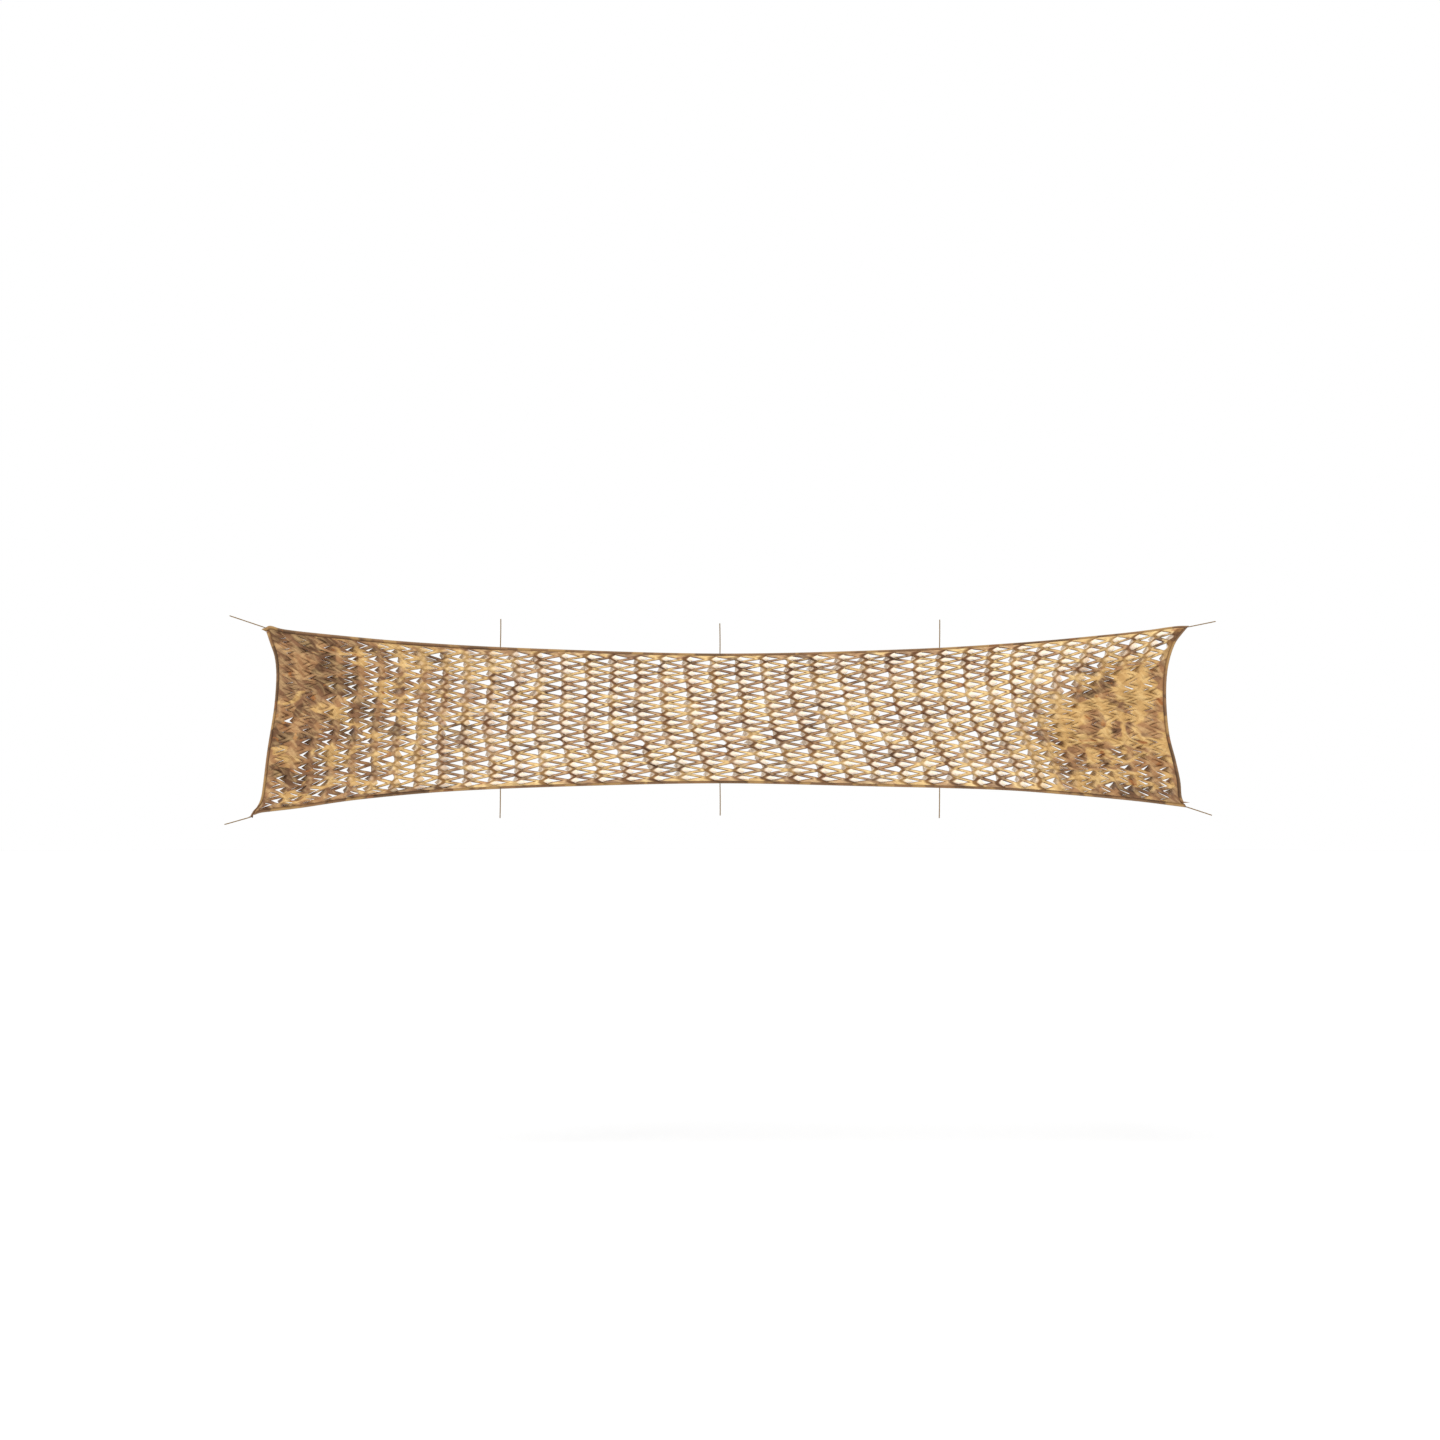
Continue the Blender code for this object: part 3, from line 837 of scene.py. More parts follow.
def make_bead():
    mesh = bmesh.new()
    bmesh.ops.create_icosphere(mesh, subdivisions=1, radius=1, matrix=Matrix.Diagonal((*STITCH_SIZE, 1)))
    bead = bpy.data.meshes.new("bead")
    mesh.to_mesh(bead)
    mesh.free()
    return bead


bead = make_bead()


def add_stitch(mesh, middle, along):
    """A bead of thread on the front or the back of the tape, along a direction in the sheet."""
    along = along.normalized()
    across = along.cross(Vector((0, 1, 0))).normalized()
    turn = Matrix((along, across.cross(along), across)).transposed().to_4x4()
    stitch = bead.copy()
    stitch.transform(Matrix.Translation(middle) @ turn)
    mesh.from_mesh(stitch)
    bpy.data.meshes.remove(stitch)


def seam_places(stations):
    """Middle and direction of each stitch of one row, before it is moved to the front or the back."""
    line = [outer.lerp(inner, SEAM_INSET / TAPE_WIDTH) for outer, inner in stations]
    wanted = STITCH_PITCH / 2
    for before, after in zip(line, line[1:]):
        run = after - before
        while wanted < run.length:
            yield before + run * (wanted / run.length), run
            wanted += STITCH_PITCH
        wanted -= run.length


stitches = bmesh.new()
for name, stations in TAPE_LINES:
    for middle, run in seam_places(stations):
        for side in (-1, 1):
            add_stitch(stitches, middle + Vector((0, side * SEAM_LEVEL, 0)), run)
for name, root, end in tie_lines():
    inward = (root - end).normalized()
    beside = inward.cross(Vector((0, 1, 0)))
    for inset in TACK_INSETS:
        for i in range(TACK_STITCHES):
            offset = (i - (TACK_STITCHES - 1) / 2) * TACK_PITCH
            for side in (-1, 1):
                middle = root + inward * (inset + TIE_SEAT) + beside * offset
                add_stitch(stitches, middle + Vector((0, side * TACK_LEVEL, 0)), inward)
print("stitches:", len(stitches.faces) // BEAD_FACES)
bpy.data.meshes.remove(bead)
add_piece("seam_stitches", stitches, thread_finish)

# %% [markdown]
# ## The cut cloth, flat
#
# The slits repeat, so only the upper half of one repeat is drawn, in units of one column and one row.
# Mirroring gives the repeat, and copies of it give the whole strip. Two kinds of slit alternate: one
# points right from its column line, the other points left from the next line and stands half a row
# higher. Each V holds a leaf, which stays joined to the cloth at the V's mouth.

# %% Half of one repeat, and its mirror
COLUMNS = 38
ROWS = 16
FLAT_COLUMN = 129 * MM
FLAT_ROW = 62.5 * MM
ROOT_REACH = -0.06  # where the middle of a leaf's crease lies, in columns from its line
HEEL_REACH = 0.12  # where the two arms of a slit end
HALF_GAPE = 0.33  # half of a slit's height at the heels, in rows
CLOTH, RIGHT_LEAF, LEFT_LEAF = 0, 1, 2
WELD = 1e-4  # points closer than this are one point

# The upper half of a slit that points right, and half of the one that points left from the next line
HALF_POINTS = {
    "between": (-HEEL_REACH, 0.0),
    "root": (ROOT_REACH, 0.0),
    "spine": (0.30, 0.0),
    "tip": (0.62, 0.0),
    "past_tip": (1 - HEEL_REACH, 0.0),
    "heel": (HEEL_REACH, HALF_GAPE),
    "arm": (0.36, 0.175),
    "last_heel": (-HEEL_REACH, 0.5 - HALF_GAPE),
    "next_arm": (0.63, 0.33),
    "next_heel": (1 - HEEL_REACH, 0.5 - HALF_GAPE),
    "before_tip": (HEEL_REACH, 0.5),
    "next_tip": (0.37, 0.5),
    "next_spine": (0.69, 0.5),
    "next_root": (1 - ROOT_REACH, 0.5),
    "last_root": (-ROOT_REACH, 0.5),
}
# What each face belongs to, then its corners
HALF_FACES = (
    (CLOTH, ("arm", "tip", "next_arm", "next_tip")),
    (CLOTH, ("heel", "arm", "next_tip", "before_tip")),
    (CLOTH, ("tip", "past_tip", "next_heel", "next_arm")),
    (CLOTH, ("between", "root", "heel", "last_heel")),
    (CLOTH, ("last_heel", "heel", "before_tip", "last_root")),
    (RIGHT_LEAF, ("root", "spine", "arm", "heel")),
    (RIGHT_LEAF, ("spine", "tip", "arm")),
    (LEFT_LEAF, ("next_arm", "next_heel", "next_root", "next_spine")),
    (LEFT_LEAF, ("next_tip", "next_arm", "next_spine")),
)


def everything(mesh):
    return mesh.verts[:] + mesh.edges[:] + mesh.faces[:]


def make_repeat():
    """The upper half of one repeat, and its mirror below."""
    mesh = bmesh.new()
    kind = mesh.faces.layers.int.new("kind")
    verts = {name: mesh.verts.new((x, y, 0)) for name, (x, y) in HALF_POINTS.items()}
    for what, corners in HALF_FACES:
        mesh.faces.new([verts[name] for name in corners])[kind] = what
    bmesh.ops.mirror(mesh, geom=everything(mesh), axis="Y", merge_dist=WELD, matrix=Matrix())
    bmesh.ops.recalc_face_normals(mesh, faces=mesh.faces)
    return mesh


net = make_repeat()
print("one repeat:", len(net.faces), "faces")

# %% The whole strip
def copy_along(mesh, step, count):
    """Adds copies of the whole mesh, one step apart."""
    source = everything(mesh)
    for i in range(1, count):
        made = bmesh.ops.duplicate(mesh, geom=source)["geom"]
        moved = [part for part in made if isinstance(part, bmesh.types.BMVert)]
        bmesh.ops.translate(mesh, verts=moved, vec=Vector(step) * i)
    bmesh.ops.remove_doubles(mesh, verts=mesh.verts, dist=WELD)


def trim(mesh, x, way):
    bmesh.ops.bisect_plane(mesh, geom=everything(mesh), dist=WELD, plane_co=(x, 0, 0), plane_no=(way, 0, 0),
                           clear_outer=True)


bmesh.ops.translate(net, verts=net.verts, vec=(-1, 0, 0))
copy_along(net, (1, 0, 0), COLUMNS + 2)
copy_along(net, (0, 1, 0), ROWS)
trim(net, -HEEL_REACH, -1)
trim(net, COLUMNS + HEEL_REACH, 1)
kind = net.faces.layers.int["kind"]
for face in net.faces:
    middle = face.calc_center_median()
    past_row = face[kind] == LEFT_LEAF and not 0 < middle.y < ROWS - 1
    if past_row or not 0 < middle.x < COLUMNS:
        face[kind] = CLOTH
print("whole strip:", len(net.faces), "faces")

# %% [markdown]
# The strip still has no edge of its own. Its border is extruded to the place of the raw edge inside
# the tape. Then the arms of every V are split, which is the cut itself: the faces stay where they
# are, but the leaf and the cloth beside it no longer share points there. Last, edges are halved where
# the cloth will bend, and the crease of each leaf, drawn as a straight line, is moved onto a curve.

# %% Places on the hung sheet
ROW_MARGIN = 17 * MM  # from the net's edge to the first row, up and down
COLUMN_MARGIN = 34 * MM  # and to the first column line
COLUMN_SPREAD = 0.15  # how much wider the columns stand in the middle than at the ends
LEAN = 0.37  # sideways run of a column line for each metre of drop, at its most
LEAN_GROWTH = 0.70  # the share of the length over which the lean grows from the left
LEAN_ENDS = (0.10, 0.36)  # upright columns at the left and right ends, as shares of the length
# Up to the first of these shares of the length only the low part of a column leans, past the second all of it
LEAN_LOW = (0.25, 0.62)
LOW_PART, LOW_PART_LEAN = 0.42, 1.9  # the share of the height that is low, and how much more it leans
WOBBLE = (0.09, 0.22)  # how far slits stray from their places, in columns and rows
WOBBLE_PERIOD = 2.3
WOBBLE_SEEDS = (3.3, 8.8)
# The share of the length over which the ends hang loose, and how much more slits stray there
LOOSE_ENDS = (0.30, 1.3)
CLOTH_INSET = 4 * MM  # how far the raw edge stays inside the tape's fold


def stray(column, row, seed):
    """A smooth uneven value, about -0.5 to 0.5, that is 0 at the strip's border."""
    inner = smoothstep(min(column + 0.1, COLUMNS + 0.1 - column, row + 0.5, ROWS - 0.5 - row) / 1.5)
    return inner * noise.noise(Vector((column / WOBBLE_PERIOD, row / WOBBLE_PERIOD, seed)))


def lattice_place(column, row):
    """Shares u and v of a place on the slit lattice, counted in columns and rows."""
    loose = 1 + LOOSE_ENDS[1] * (1 - smoothstep(min(column, COLUMNS - column) / COLUMNS / LOOSE_ENDS[0]))
    across, up = (size * stray(column, row, seed) for size, seed in zip(WOBBLE, WOBBLE_SEEDS))
    column, row = column + loose * across, row + loose * up
    share = column / COLUMNS
    middle = share - COLUMN_SPREAD / math.tau * math.sin(math.tau * share)
    margin = COLUMN_MARGIN / MEAN_LENGTH
    u = mix(margin, 1 - margin, middle)
    height = height_at(u)
    v = mix(ROW_MARGIN / height, 1 - ROW_MARGIN / height, (row + 0.5) / ROWS)
    upright = smoothstep(share / LEAN_ENDS[0]) * smoothstep((1 - share) / LEAN_ENDS[1])
    lean = LEAN * smoothstep(share / LEAN_GROWTH) * upright
    even = smoothstep((share - LEAN_LOW[0]) / (LEAN_LOW[1] - LEAN_LOW[0]))
    drop = mix(LOW_PART_LEAN * max(LOW_PART - v, 0), 0.5 - v, even)
    return u + lean * drop * height / MEAN_LENGTH, v


print("first slit at u, v:", [round(share, 3) for share in lattice_place(0, 0)])

# %% Border and cuts
BORDER = 0.25  # how far the border runs on, in rows or columns of the flat cloth


def add_border(mesh):
    share_u = mesh.verts.layers.float.new("u")
    share_v = mesh.verts.layers.float.new("v")
    border = mesh.verts.layers.float.new("border")
    for vert in mesh.verts:
        vert[share_u], vert[share_v] = lattice_place(vert.co.x, vert.co.y)
    rim = [edge for edge in mesh.edges if edge.is_boundary]
    made = bmesh.ops.extrude_edge_only(mesh, edges=rim)["geom"]
    for vert in (part for part in made if isinstance(part, bmesh.types.BMVert)):
        x, y = vert.co.x, vert.co.y
        vert[border] = 1.0
        height = height_at(vert[share_u])
        if x < -HEEL_REACH + WELD:
            vert[share_u], vert.co.x = CLOTH_INSET / MEAN_LENGTH, x - BORDER
        if x > COLUMNS + HEEL_REACH - WELD:
            vert[share_u], vert.co.x = 1 - CLOTH_INSET / MEAN_LENGTH, x + BORDER
        if y < -0.5 + WELD:
            vert[share_v], vert.co.y = CLOTH_INSET / height, y - BORDER
        if y > ROWS - 0.5 - WELD:
            vert[share_v], vert.co.y = 1 - CLOTH_INSET / height, y + BORDER


def is_crease(edge):
    """True for an edge between a leaf and the cloth that isn't cut: it lies near a column line."""
    return all(abs(vert.co.x - round(vert.co.x)) < HEEL_REACH + WELD for vert in edge.verts)


def cut_slits(mesh):
    arms = []
    for edge in mesh.edges:
        kinds = {face[kind] for face in edge.link_faces}
        if len(kinds) == 2 and not is_crease(edge):
            arms.append(edge)
    bmesh.ops.split_edges(mesh, edges=arms)
    return len(arms) // 4


add_border(net)
print("slits cut:", cut_slits(net))


# %% Rounded creases
CREASE_ROUND = 1.8  # the power of the crease's curve
SHORT_RUN = 0.1  # an edge of a leaf that runs less far than this, in columns, lies across it


def level_of(y, way):
    """The level of the nearest row of one kind of slit: whole numbers, or halves for the other kind."""
    return round(y) if way > 0 else math.floor(y) + 0.5


def crease_reach(rise):
    """How far a crease lies from its column line, at a rise in rows from the slit's level."""
    return mix(ROOT_REACH, HEEL_REACH, min(abs(rise) / HALF_GAPE, 1.0) ** CREASE_ROUND)


def round_creases(mesh):
    """Moves the middle of each straight crease onto the curve."""
    for vert in mesh.verts:
        line = round(vert.co.x)
        reach = abs(vert.co.x - line)
        kinds = {face[kind] for face in vert.link_faces}
        if len(kinds) == 2 and ROOT_REACH + WELD < reach < HEEL_REACH - WELD:
            way = 1 if RIGHT_LEAF in kinds else -1
            vert.co.x = line + way * crease_reach(vert.co.y - level_of(vert.co.y, way))


def refine(mesh):
    """Adds points where the cloth bends: over the ribs, and along the leaves."""
    chosen = []
    for edge in mesh.edges:
        on_leaf = all(face[kind] != CLOTH for face in edge.link_faces)
        a, b = (vert.co for vert in edge.verts)
        across_leaf = on_leaf and abs(a.x - b.x) < SHORT_RUN
        if not across_leaf:
            chosen.append(edge)
    bmesh.ops.subdivide_edges(mesh, edges=chosen, cuts=1, use_grid_fill=True)


refine(net)
round_creases(net)
triangles = sum(len(face.verts) - 2 for face in net.faces)
print("refined:", len(net.verts), "points,", triangles, "triangles on one side")

# %% [markdown]
# ## The cut cloth, hung
#
# Every point now moves to its place on the hung sheet. The cloth follows the sheet. A leaf leaves
# it: the harder the net is pulled, the further the leaf swings out about its crease, one kind
# towards the front and the other towards the back. Half way out its sides roll in, because the cloth
# round it is drawn together. At the gathered ends the slits stay shut, apart from a few that are
# snagged open. Real leaves never turn alike, so each gets its own turn, curl and droop.

# %% How far each leaf turns
# How unevenly the slits open anywhere, and what a partial pull adds: a quarter of this where it is half
OPENING_UNEVEN = (0.10, 1.00)
UNEVEN_FROM = 1 / 8  # below this pull the slits open more alike
FULL_TURN = {1: math.radians(50), -1: math.radians(72)}  # at full pull, to the front and to the back
SHUT_TURN = math.radians(10)  # how far a leaf may stand off where the cloth is shut, to either side
TURN_UNEVEN = math.radians(12)
# How slits open with the pull: the share that opens early, its power of the pull, and the rest's power.
# By the half of the net, 0 left and 1 right, and the way the slit points
EARLY_OPENING = {
    (0, 1): (0.80, 0.15, 1.8),
    (0, -1): (0.74, 0.12, 1.0),
    (1, 1): (1.00, 0.30, 1.0),
    (1, -1): (0.76, 0.16, 1.5),
}
# x and z of slits that are snagged open in the gathered ends
SNAGS = (
    (-2.28, -0.338), (-2.40, -0.835), (-2.36, -0.82), (-2.10, -0.80), (2.165, -0.198), (2.299, -0.166),
    (1.996, -0.657), (2.055, -0.711), (2.108, -0.55), (2.13, -0.711), (2.21, -0.62), (2.237, -0.70),
    (2.269, -0.657), (2.361, -0.727),
)
SNAG_OPENING = 0.75  # how far such a slit is open
SNAG_REACH = 0.3  # where a snag catches a leaf, in columns from its line


def all_slits():
    """Each slit as its column line, its level in rows, and the way it points."""
    for line in range(COLUMNS):
        for level in range(ROWS):
            yield line, level, 1
            if level < ROWS - 1:
                yield line + 1, level + 0.5, -1


def snagged_slits():
    """The slit nearest to each snag."""
    places = {(line, level, way): flat_place(*lattice_place(line + way * SNAG_REACH, level))
              for line, level, way in all_slits()}
    return {min(places, key=lambda slit: (places[slit] - Vector(snag)).length) for snag in SNAGS}


SNAGGED = snagged_slits()
print("slits:", len(list(all_slits())), "of which snagged open:", len(SNAGGED))


def slit_opening(line, level, way):
    """How far one slit is open, from 0 to 1."""
    if (line, level, way) in SNAGGED:
        return SNAG_OPENING
    u, v = lattice_place(line + way * HEEL_REACH, level)
    pull = opening(u, v)
    early, early_power, late_power = EARLY_OPENING[int(u > 0.5), way]
    opened = early * pull**early_power + (1 - early) * pull**late_power
    stray_opening = (OPENING_UNEVEN[0] + OPENING_UNEVEN[1] * pull * (1 - pull)) * uneven(line, level)
    return clamp(opened + stray_opening * min(pull / UNEVEN_FROM, 1.0))


def leaf_turn(line, level, way):
    """The angle at which one leaf stands off the cloth."""
    shut = SHUT_TURN * uneven(level, line + 0.3)
    full = FULL_TURN[way] + TURN_UNEVEN * uneven(line + 0.7, level)
    return mix(shut, full, slit_opening(line, level, way))


def turned_share(turn, way):
    """How much of its full turn a leaf has made, from 0 to 1."""
    return clamp(turn / FULL_TURN[way])


# %% Where the cloth's own points go
RIB_ROUND = 2.2 * MM
FINE_CRUMPLE = 9 * MM
CRUMPLE_FADE = (1 / 12, 1 / 5)  # shares of the length and the height over which it grows from the edges
CRUMPLE_SLANT = ((1.5, 0.5), (-0.6, 0.9))  # folds for each column and row, along and across the slant
CRUMPLE_SEED = 4.4


def crumple(x, y):
    """Small slanting folds in the gathered ends, from -1 to 1."""
    along, across = (columns * x + rows * y for columns, rows in CRUMPLE_SLANT)
    return 2 * noise.noise(Vector((along, across, CRUMPLE_SEED)))


def cloth_point(x, y, u, v, rib):
    """A place on the hung cloth. A strand is rounded: its rims (rib 1) lie behind its middle (rib -1)."""
    pull = opening(u, v)
    fade = smoothstep(min(u, 1 - u) / CRUMPLE_FADE[0]) * smoothstep(min(v, 1 - v) / CRUMPLE_FADE[1])
    depth = rib * RIB_ROUND * pull + FINE_CRUMPLE * (1 - pull) * fade * crumple(x, y)
    return sheet_point(u, v, x) + Vector((0, depth, 0))


# %% Where a leaf's points go
HINGE_BEND = 5 * MM  # the length over which a leaf bends away from the cloth
LEAF_LENGTH = 90 * MM
LEAF_CURL = (math.radians(4), math.radians(14))  # the rest of its bend: common to all, and uneven
LEAF_DROOP = 5 * MM  # of a leaf that stands out as far as the next value
DROOP_AT = 60 * MM
DROOP_UNEVEN = 0.7
LEAF_SWING = 4 * MM
FRONT_LIMIT, BACK_LIMIT = -60 * MM, 66 * MM  # no leaf reaches past these
WIDEN_OVER = 30 * MM  # the length over which a leaf takes back the width that the drawn cloth has lost
LEAF_ROLL = {1: 0.60, -1: 0.10}  # how much a half-turned leaf rolls in, to the front and to the back
ROLL_OVER = 25 * MM
HEADING_STEP = 0.2  # how far ahead, in columns, the cloth's direction is read


def arc(length, start, bend):
    """How far ahead and out a strip reaches that sets off at one angle and bends evenly."""
    if abs(bend) < 0.01:
        return length * math.cos(start + bend / 2), length * math.sin(start + bend / 2)
    radius, end = length / bend, start + bend
    return radius * (math.sin(end) - math.sin(start)), radius * (math.cos(start) - math.cos(end))


def leaf_reach(along, turn, curl):
    """Ahead and out of the crease, for a point that far along the leaf."""
    first = min(along, HINGE_BEND)
    ahead, out = arc(first, 0.0, turn * first / HINGE_BEND)
    rest = along - first
    end_ahead, end_out = arc(rest, turn, curl * rest / LEAF_LENGTH)
    return ahead + end_ahead, out + end_out


def slit_of(x, y, way):
    """The column line and the level of the slit that a leaf's point belongs to."""
    return math.floor(x) if way > 0 else math.ceil(x), level_of(y, way)


def leaf_point(x, y, way):
    """The place of a leaf's point once the leaf has turned out of the cloth."""
    line, level = slit_of(x, y, way)
    rise = y - level
    crease = crease_reach(rise)
    along = (abs(x - line) - crease) * FLAT_COLUMN
    turn = leaf_turn(line, level, way)
    turned = turned_share(turn, way)
    rolled = LEAF_ROLL[way] * 4 * turned * (1 - turned) * smoothstep(along / ROLL_OVER)
    base_level = level + rise * (1 - rolled)
    base = sheet_point(*lattice_place(line + way * crease, base_level), line)
    ahead_of_base = sheet_point(*lattice_place(line + way * (crease + HEADING_STEP), base_level), line)
    heading = (ahead_of_base - base) / (HEADING_STEP * FLAT_COLUMN)
    curl = (LEAF_CURL[0] + LEAF_CURL[1] * uneven(line, level + 0.2)) * turned
    ahead, out = leaf_reach(along, turn, curl)
    _, tip_out = leaf_reach(LEAF_LENGTH, turn, curl)
    room = (base.y - FRONT_LIMIT) if way > 0 else (BACK_LIMIT - base.y)
    out *= min(1.0, room / max(tip_out, MM))
    share = smoothstep(along / WIDEN_OVER) * turned
    spread = rise * max(FLAT_ROW - height_at(0.5) / ROWS, 0) * share
    droop = LEAF_DROOP * (1 + DROOP_UNEVEN * uneven(level, line)) * (out / DROOP_AT) ** 2
    swing = LEAF_SWING * uneven(line + 0.4, level + 0.1) * share * smoothstep(out / LEAF_LENGTH)
    lying = cloth_point(x, y, *lattice_place(x, y), 1) - base - heading * along
    return base + heading * ahead + lying * (1 - turned) + Vector((0, -way * out, spread + swing - droop))


# %% Painted shade and light at each point
EDGE_SHADE = (0.42, 60 * MM)  # how dark the cloth is beside the tapes, against a cut rim, and how far in
STRAND_SHADE = 1.25  # painted shade along the folded column lines where the net is pulled, against a cut rim
RIM_SHADE = (0.76, 1.36)  # painted shade on a cut rim where the cloth is shut, and where it is pulled
SHADE_UNEVEN = 0.55  # the most that a slit's rim and its column line lack of their shade
LEAF_SHADE = {1: (0.15, 0.15), -1: (0.30, 0.15)}  # painted shade on a leaf where the net is shut, and where it is pulled
LEAF_SHADE_OVER = 0.2  # columns from its line over which a leaf's painted shade grows
LIT_POWER = {1: 2, -1: 1}  # how late a leaf's face takes its painted light as the pull grows


def cloth_shade(x, y, u, v, on_cut):
    """Darker cloth beside the tapes, and painted shade on a cut rim and on a pulled column line."""
    pull = opening(u, v)
    shade = 0.0
    if on_cut:
        shade = mix(*RIM_SHADE, pull)
    elif abs(x - round(x)) < HEEL_REACH + WELD:
        shade = STRAND_SHADE * math.sqrt(pull)
    kept = 1 - SHADE_UNEVEN * (0.5 + 0.5 * uneven(round(x) + 0.6, round(y)))
    beside_tape = EDGE_SHADE[0] * (1 - smoothstep(from_edge(u, v) / EDGE_SHADE[1]))
    return max(beside_tape, shade * kept)


def leaf_shade(reach, way, turned, pull):
    """The painted shade on a turned leaf, so many columns from its line."""
    return turned * smoothstep(reach / LEAF_SHADE_OVER) * mix(*LEAF_SHADE[way], pull)


print("shade of a cut rim, shut and pulled:", RIM_SHADE)


# %% Hang every point
def rib_of(on_border, on_cut):
    """Where a point lies on its strand: -1 in the middle, 1 at a cut rim, 0 at the level border."""
    if on_border:
        return 0
    return 1 if on_cut else -1


def hang(mesh):
    floats = mesh.verts.layers.float
    share_u, share_v, border = floats["u"], floats["v"], floats["border"]
    cut, turned, stretched, lit = [floats.new(name) for name in ("cut", "turned", "stretched", "lit")]
    add_flat_layer(mesh, lambda vert: (vert.co.x * FLAT_COLUMN, vert.co.y * FLAT_ROW))
    for vert in mesh.verts:
        x, y = vert.co.x, vert.co.y
        kinds = {face[kind] for face in vert.link_faces}
        if CLOTH in kinds:
            if not vert[border]:
                vert[share_u], vert[share_v] = lattice_place(x, y)
            u, v = vert[share_u], vert[share_v]
            on_cut = vert.is_boundary and not vert[border]
            # The pull; the finish paints pulled cloth paler with it, as painted light
            vert[stretched] = opening(u, v)
            # The "cut" value: painted shade on cut rims and column lines, and darker cloth beside the tapes
            vert[cut] = cloth_shade(x, y, u, v, on_cut)
            vert.co = cloth_point(x, y, u, v, rib_of(vert[border], on_cut))
        else:
            way = 1 if RIGHT_LEAF in kinds else -1
            line, level = slit_of(x, y, way)
            pull = opening(*lattice_place(line + way * HEEL_REACH, level))
            share = turned_share(leaf_turn(line, level, way), way)
            # The "turned" value is painted shade on the leaf near its crease
            vert[turned] = leaf_shade(abs(x - line), way, share, pull)
            vert[stretched] = pull
            # Painted light on the leaf's face
            vert[lit] = pull ** LIT_POWER[way]
            vert.co = leaf_point(x, y, way)


hang(net)
depths = [vert.co.y for vert in net.verts]
print(f"leaves reach {-min(depths) * 1000:.0f} mm to the front and {max(depths) * 1000:.0f} mm to the back")

# %% [markdown]
# The cloth's finish starts from the same print, dark and patchy at the left and sandy at the right.
# Over it lie small slanting strokes for the crumpled weave, with painted shade in their hollows and a
# painted highlight on their crests. Light also comes through and round a thin net: pulled cloth is painted
# paler and a turned leaf palest of all, while painted shade darkens the cut rims, the folded column lines
# and each turned leaf near its crease, and the cloth beside the tapes is darker. These come from values
# kept at the points, because they belong to the shape.

# %% Cloth finish
# How sandy the print is, against places along the flat cloth as shares of its length
SAND_ALONG = (
    (0.00, 0.15),
    (0.08, 0.25),
    (0.15, 0.75),
    (0.35, 0.56),
    (0.70, 0.60),
    (0.80, 0.96),
    (1.00, 0.96),
)
CORNER_DRIFT = 1.3  # how much darker the print is high at the left and low at the right
STROKE_SLANT = math.radians(34)
STROKE_SCALE = (11, 34, 1)
STROKE_LEVEL, STROKE_RIM = 0.56, 0.12
# Painted shade for the strokes' hollows, and a painted highlight for their crests
HOLLOW_SHADE, CREST_HIGHLIGHT = (0.58, 0.50, 0.44, 1), (0.42, 0.29, 0.13, 1)
# Painted shade on a turned leaf
TURNED_SHADE = (0.36, 0.25, 0.17, 1)
# Painted light on pulled cloth, multiplied and screened
PULLED_LIGHT_GAIN, PULLED_LIGHT_GLOW = (1.45, 1.65, 1.88, 1), (0.60, 0.42, 0.28, 1)
# Painted light on a turned leaf's face
LIT_LEAF = (0.79, 0.67, 0.54, 1)
# Painted shade on cut rims and column lines; the same tint darkens the cloth beside the tapes
RIM_SHADE_AND_BORDER_DARK = (0.30, 0.21, 0.15, 1)


def flat_shares(finish):
    """Where a point lies along the flat cloth and up it, from 0 to 1."""
    flat = finish.node("ShaderNodeUVMap", {"uv_map": "flat"})
    along = finish.node("ShaderNodeSeparateXYZ", {}, {0: flat}) * (1 / (COLUMNS * FLAT_COLUMN))
    up = finish.node("ShaderNodeSeparateXYZ", {}, {0: flat}, output="Y") * (1 / (ROWS * FLAT_ROW))
    return along, up


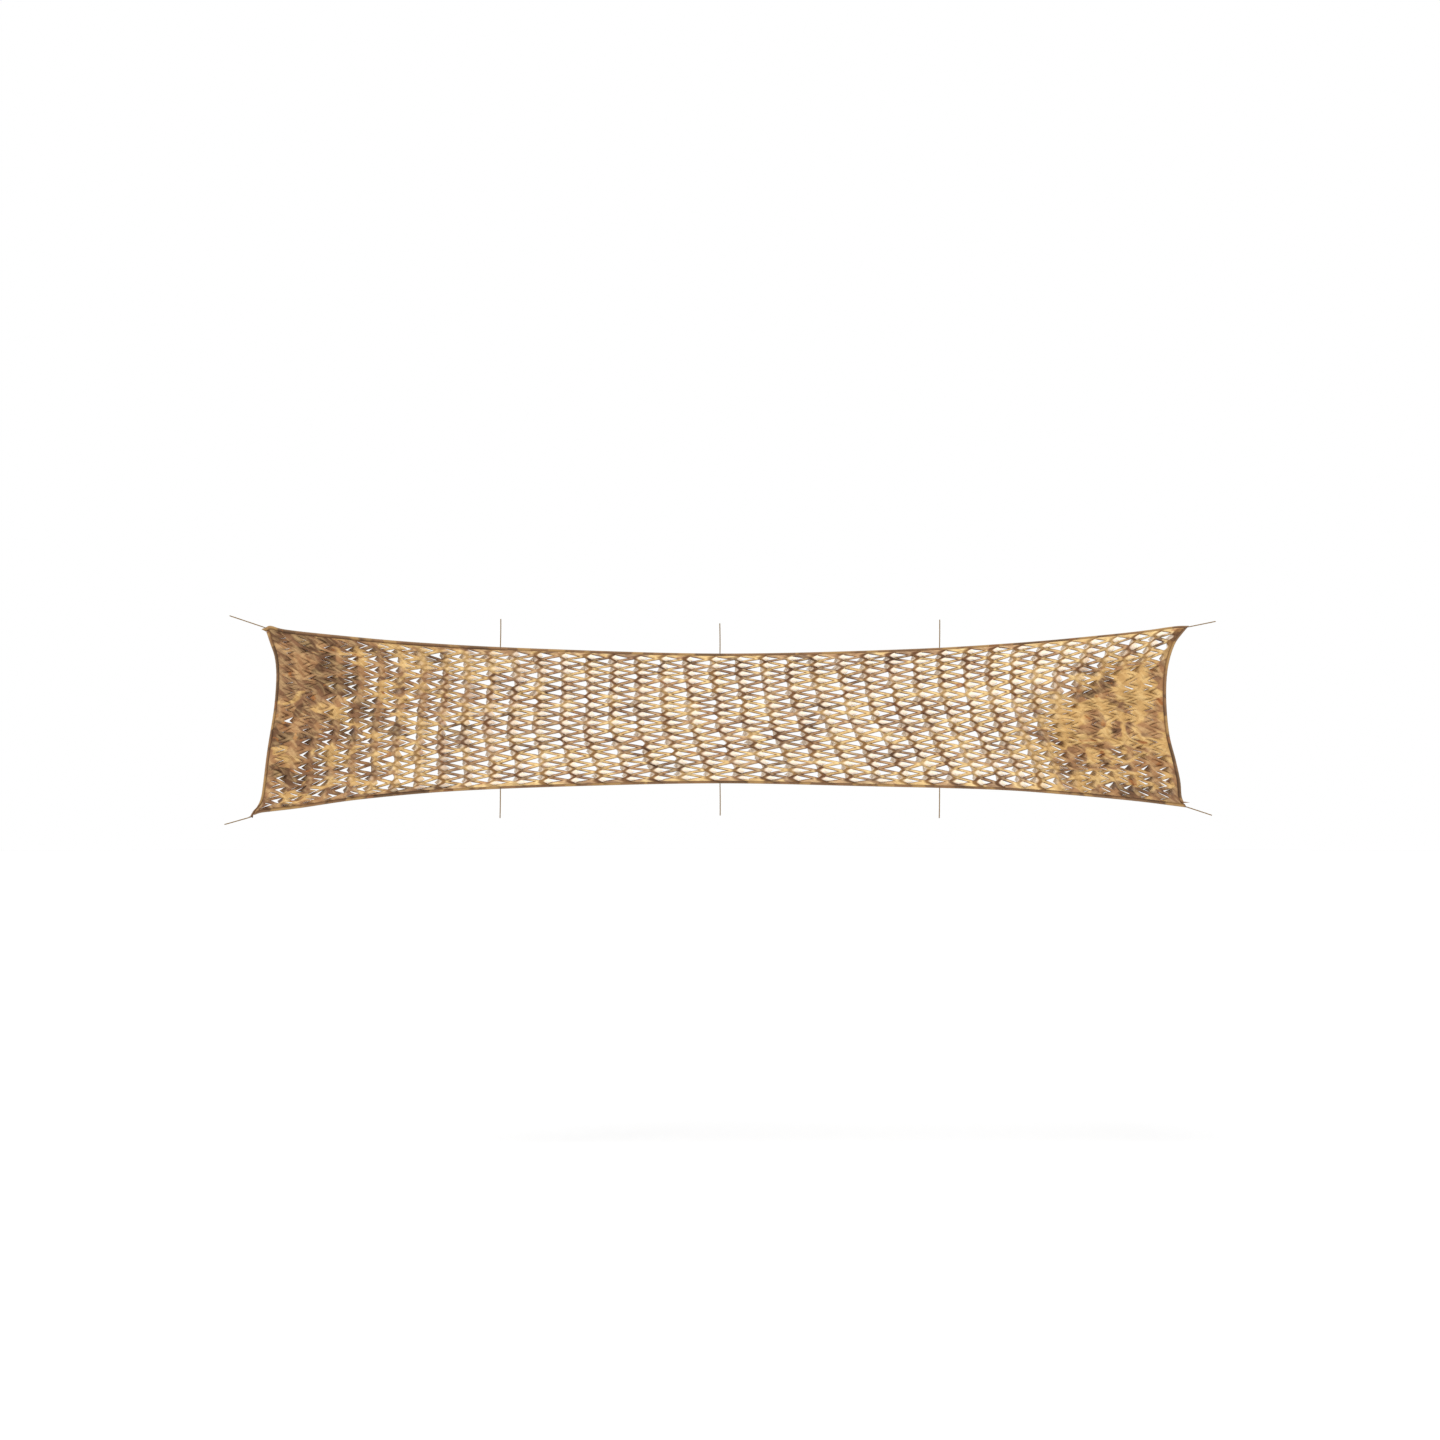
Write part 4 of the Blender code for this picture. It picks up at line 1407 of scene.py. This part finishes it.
def make_cloth_finish():
    finish = Finish("printed_net_cloth", Roughness=0.88, Specular_IOR_Level=0.25)
    along, up = flat_shares(finish)
    sandy = finish.node("ShaderNodeValToRGB", {"stops": SAND_ALONG}, {0: along})
    high_left = (1 - along * 8).clamped() * (up * 2 - 0.9).clamped()
    low_right = (along * 6 - 4.9).clamped() * (0.9 - up * 2).clamped()
    drift = sandy * 1.6 - 0.4 - high_left * CORNER_DRIFT - low_right * CORNER_DRIFT
    print_colour = camouflage(finish, drift=drift)

    def strokes(turn, shift):
        place = finish.flat_coordinates(STROKE_SCALE, turn=turn, shift=shift)
        return finish.noise(place, 1.0, detail=3.0, roughness=0.55, distortion=0.6)

    # Strokes of the crumpled weave: painted shade in their hollows, a painted highlight on their crests, and
    # both give the bump
    hollow_shade_mask = finish.step_at(strokes(-STROKE_SLANT, (0, 0, 0)), STROKE_LEVEL, STROKE_RIM)
    crest_highlight_mask = finish.step_at(strokes(STROKE_SLANT, (3.7, 1.9, 0)), STROKE_LEVEL, STROKE_RIM)
    pulled = finish.attribute("stretched")
    rim = (finish.attribute("cut") * 1.35 - 0.25).clamped()
    # Painted shade in the strokes' hollows, and a painted highlight on their crests
    colour = finish.mixed(hollow_shade_mask * 0.5, print_colour, HOLLOW_SHADE, "MULTIPLY")
    colour = finish.mixed(crest_highlight_mask * 0.55, colour, CREST_HIGHLIGHT, "SCREEN")
    # Painted shade on turned leaves near their creases
    colour = finish.mixed(finish.attribute("turned") * 0.8, colour, TURNED_SHADE, "MULTIPLY")
    # Painted light: pulled cloth paler, with a gain and a glow
    colour = finish.mixed(pulled * 0.75, colour, PULLED_LIGHT_GAIN, "MULTIPLY")
    colour = finish.mixed(pulled * 0.12, colour, PULLED_LIGHT_GLOW, "SCREEN")
    # Painted light on a turned leaf's face
    colour = finish.mixed(finish.attribute("lit") * 0.95, colour, LIT_LEAF)
    # Painted shade on cut rims and column lines, and darker cloth beside the tapes
    colour = finish.mixed(rim * 0.95, colour, RIM_SHADE_AND_BORDER_DARK, "MULTIPLY")
    return finish.finish(colour, height=crest_highlight_mask - hollow_shade_mask, bump=0.6, depth=3.5 * MM)


cloth_finish = make_cloth_finish()
print("finish:", cloth_finish.name)

# %% [markdown]
# ## The finished net
#
# The cloth is a single layer of faces so far. Solidify gives it its thickness only now, so that each
# slit is cut through both faces at once.

# %% The finished net
NET_THICK = 0.8 * MM

cloth = add_piece("cut_cloth", net, cloth_finish)
wall = cloth.modifiers.new("thickness", "SOLIDIFY")
wall.thickness = NET_THICK
wall.offset = 0.0
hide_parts("net_cloth")
print("net hung")
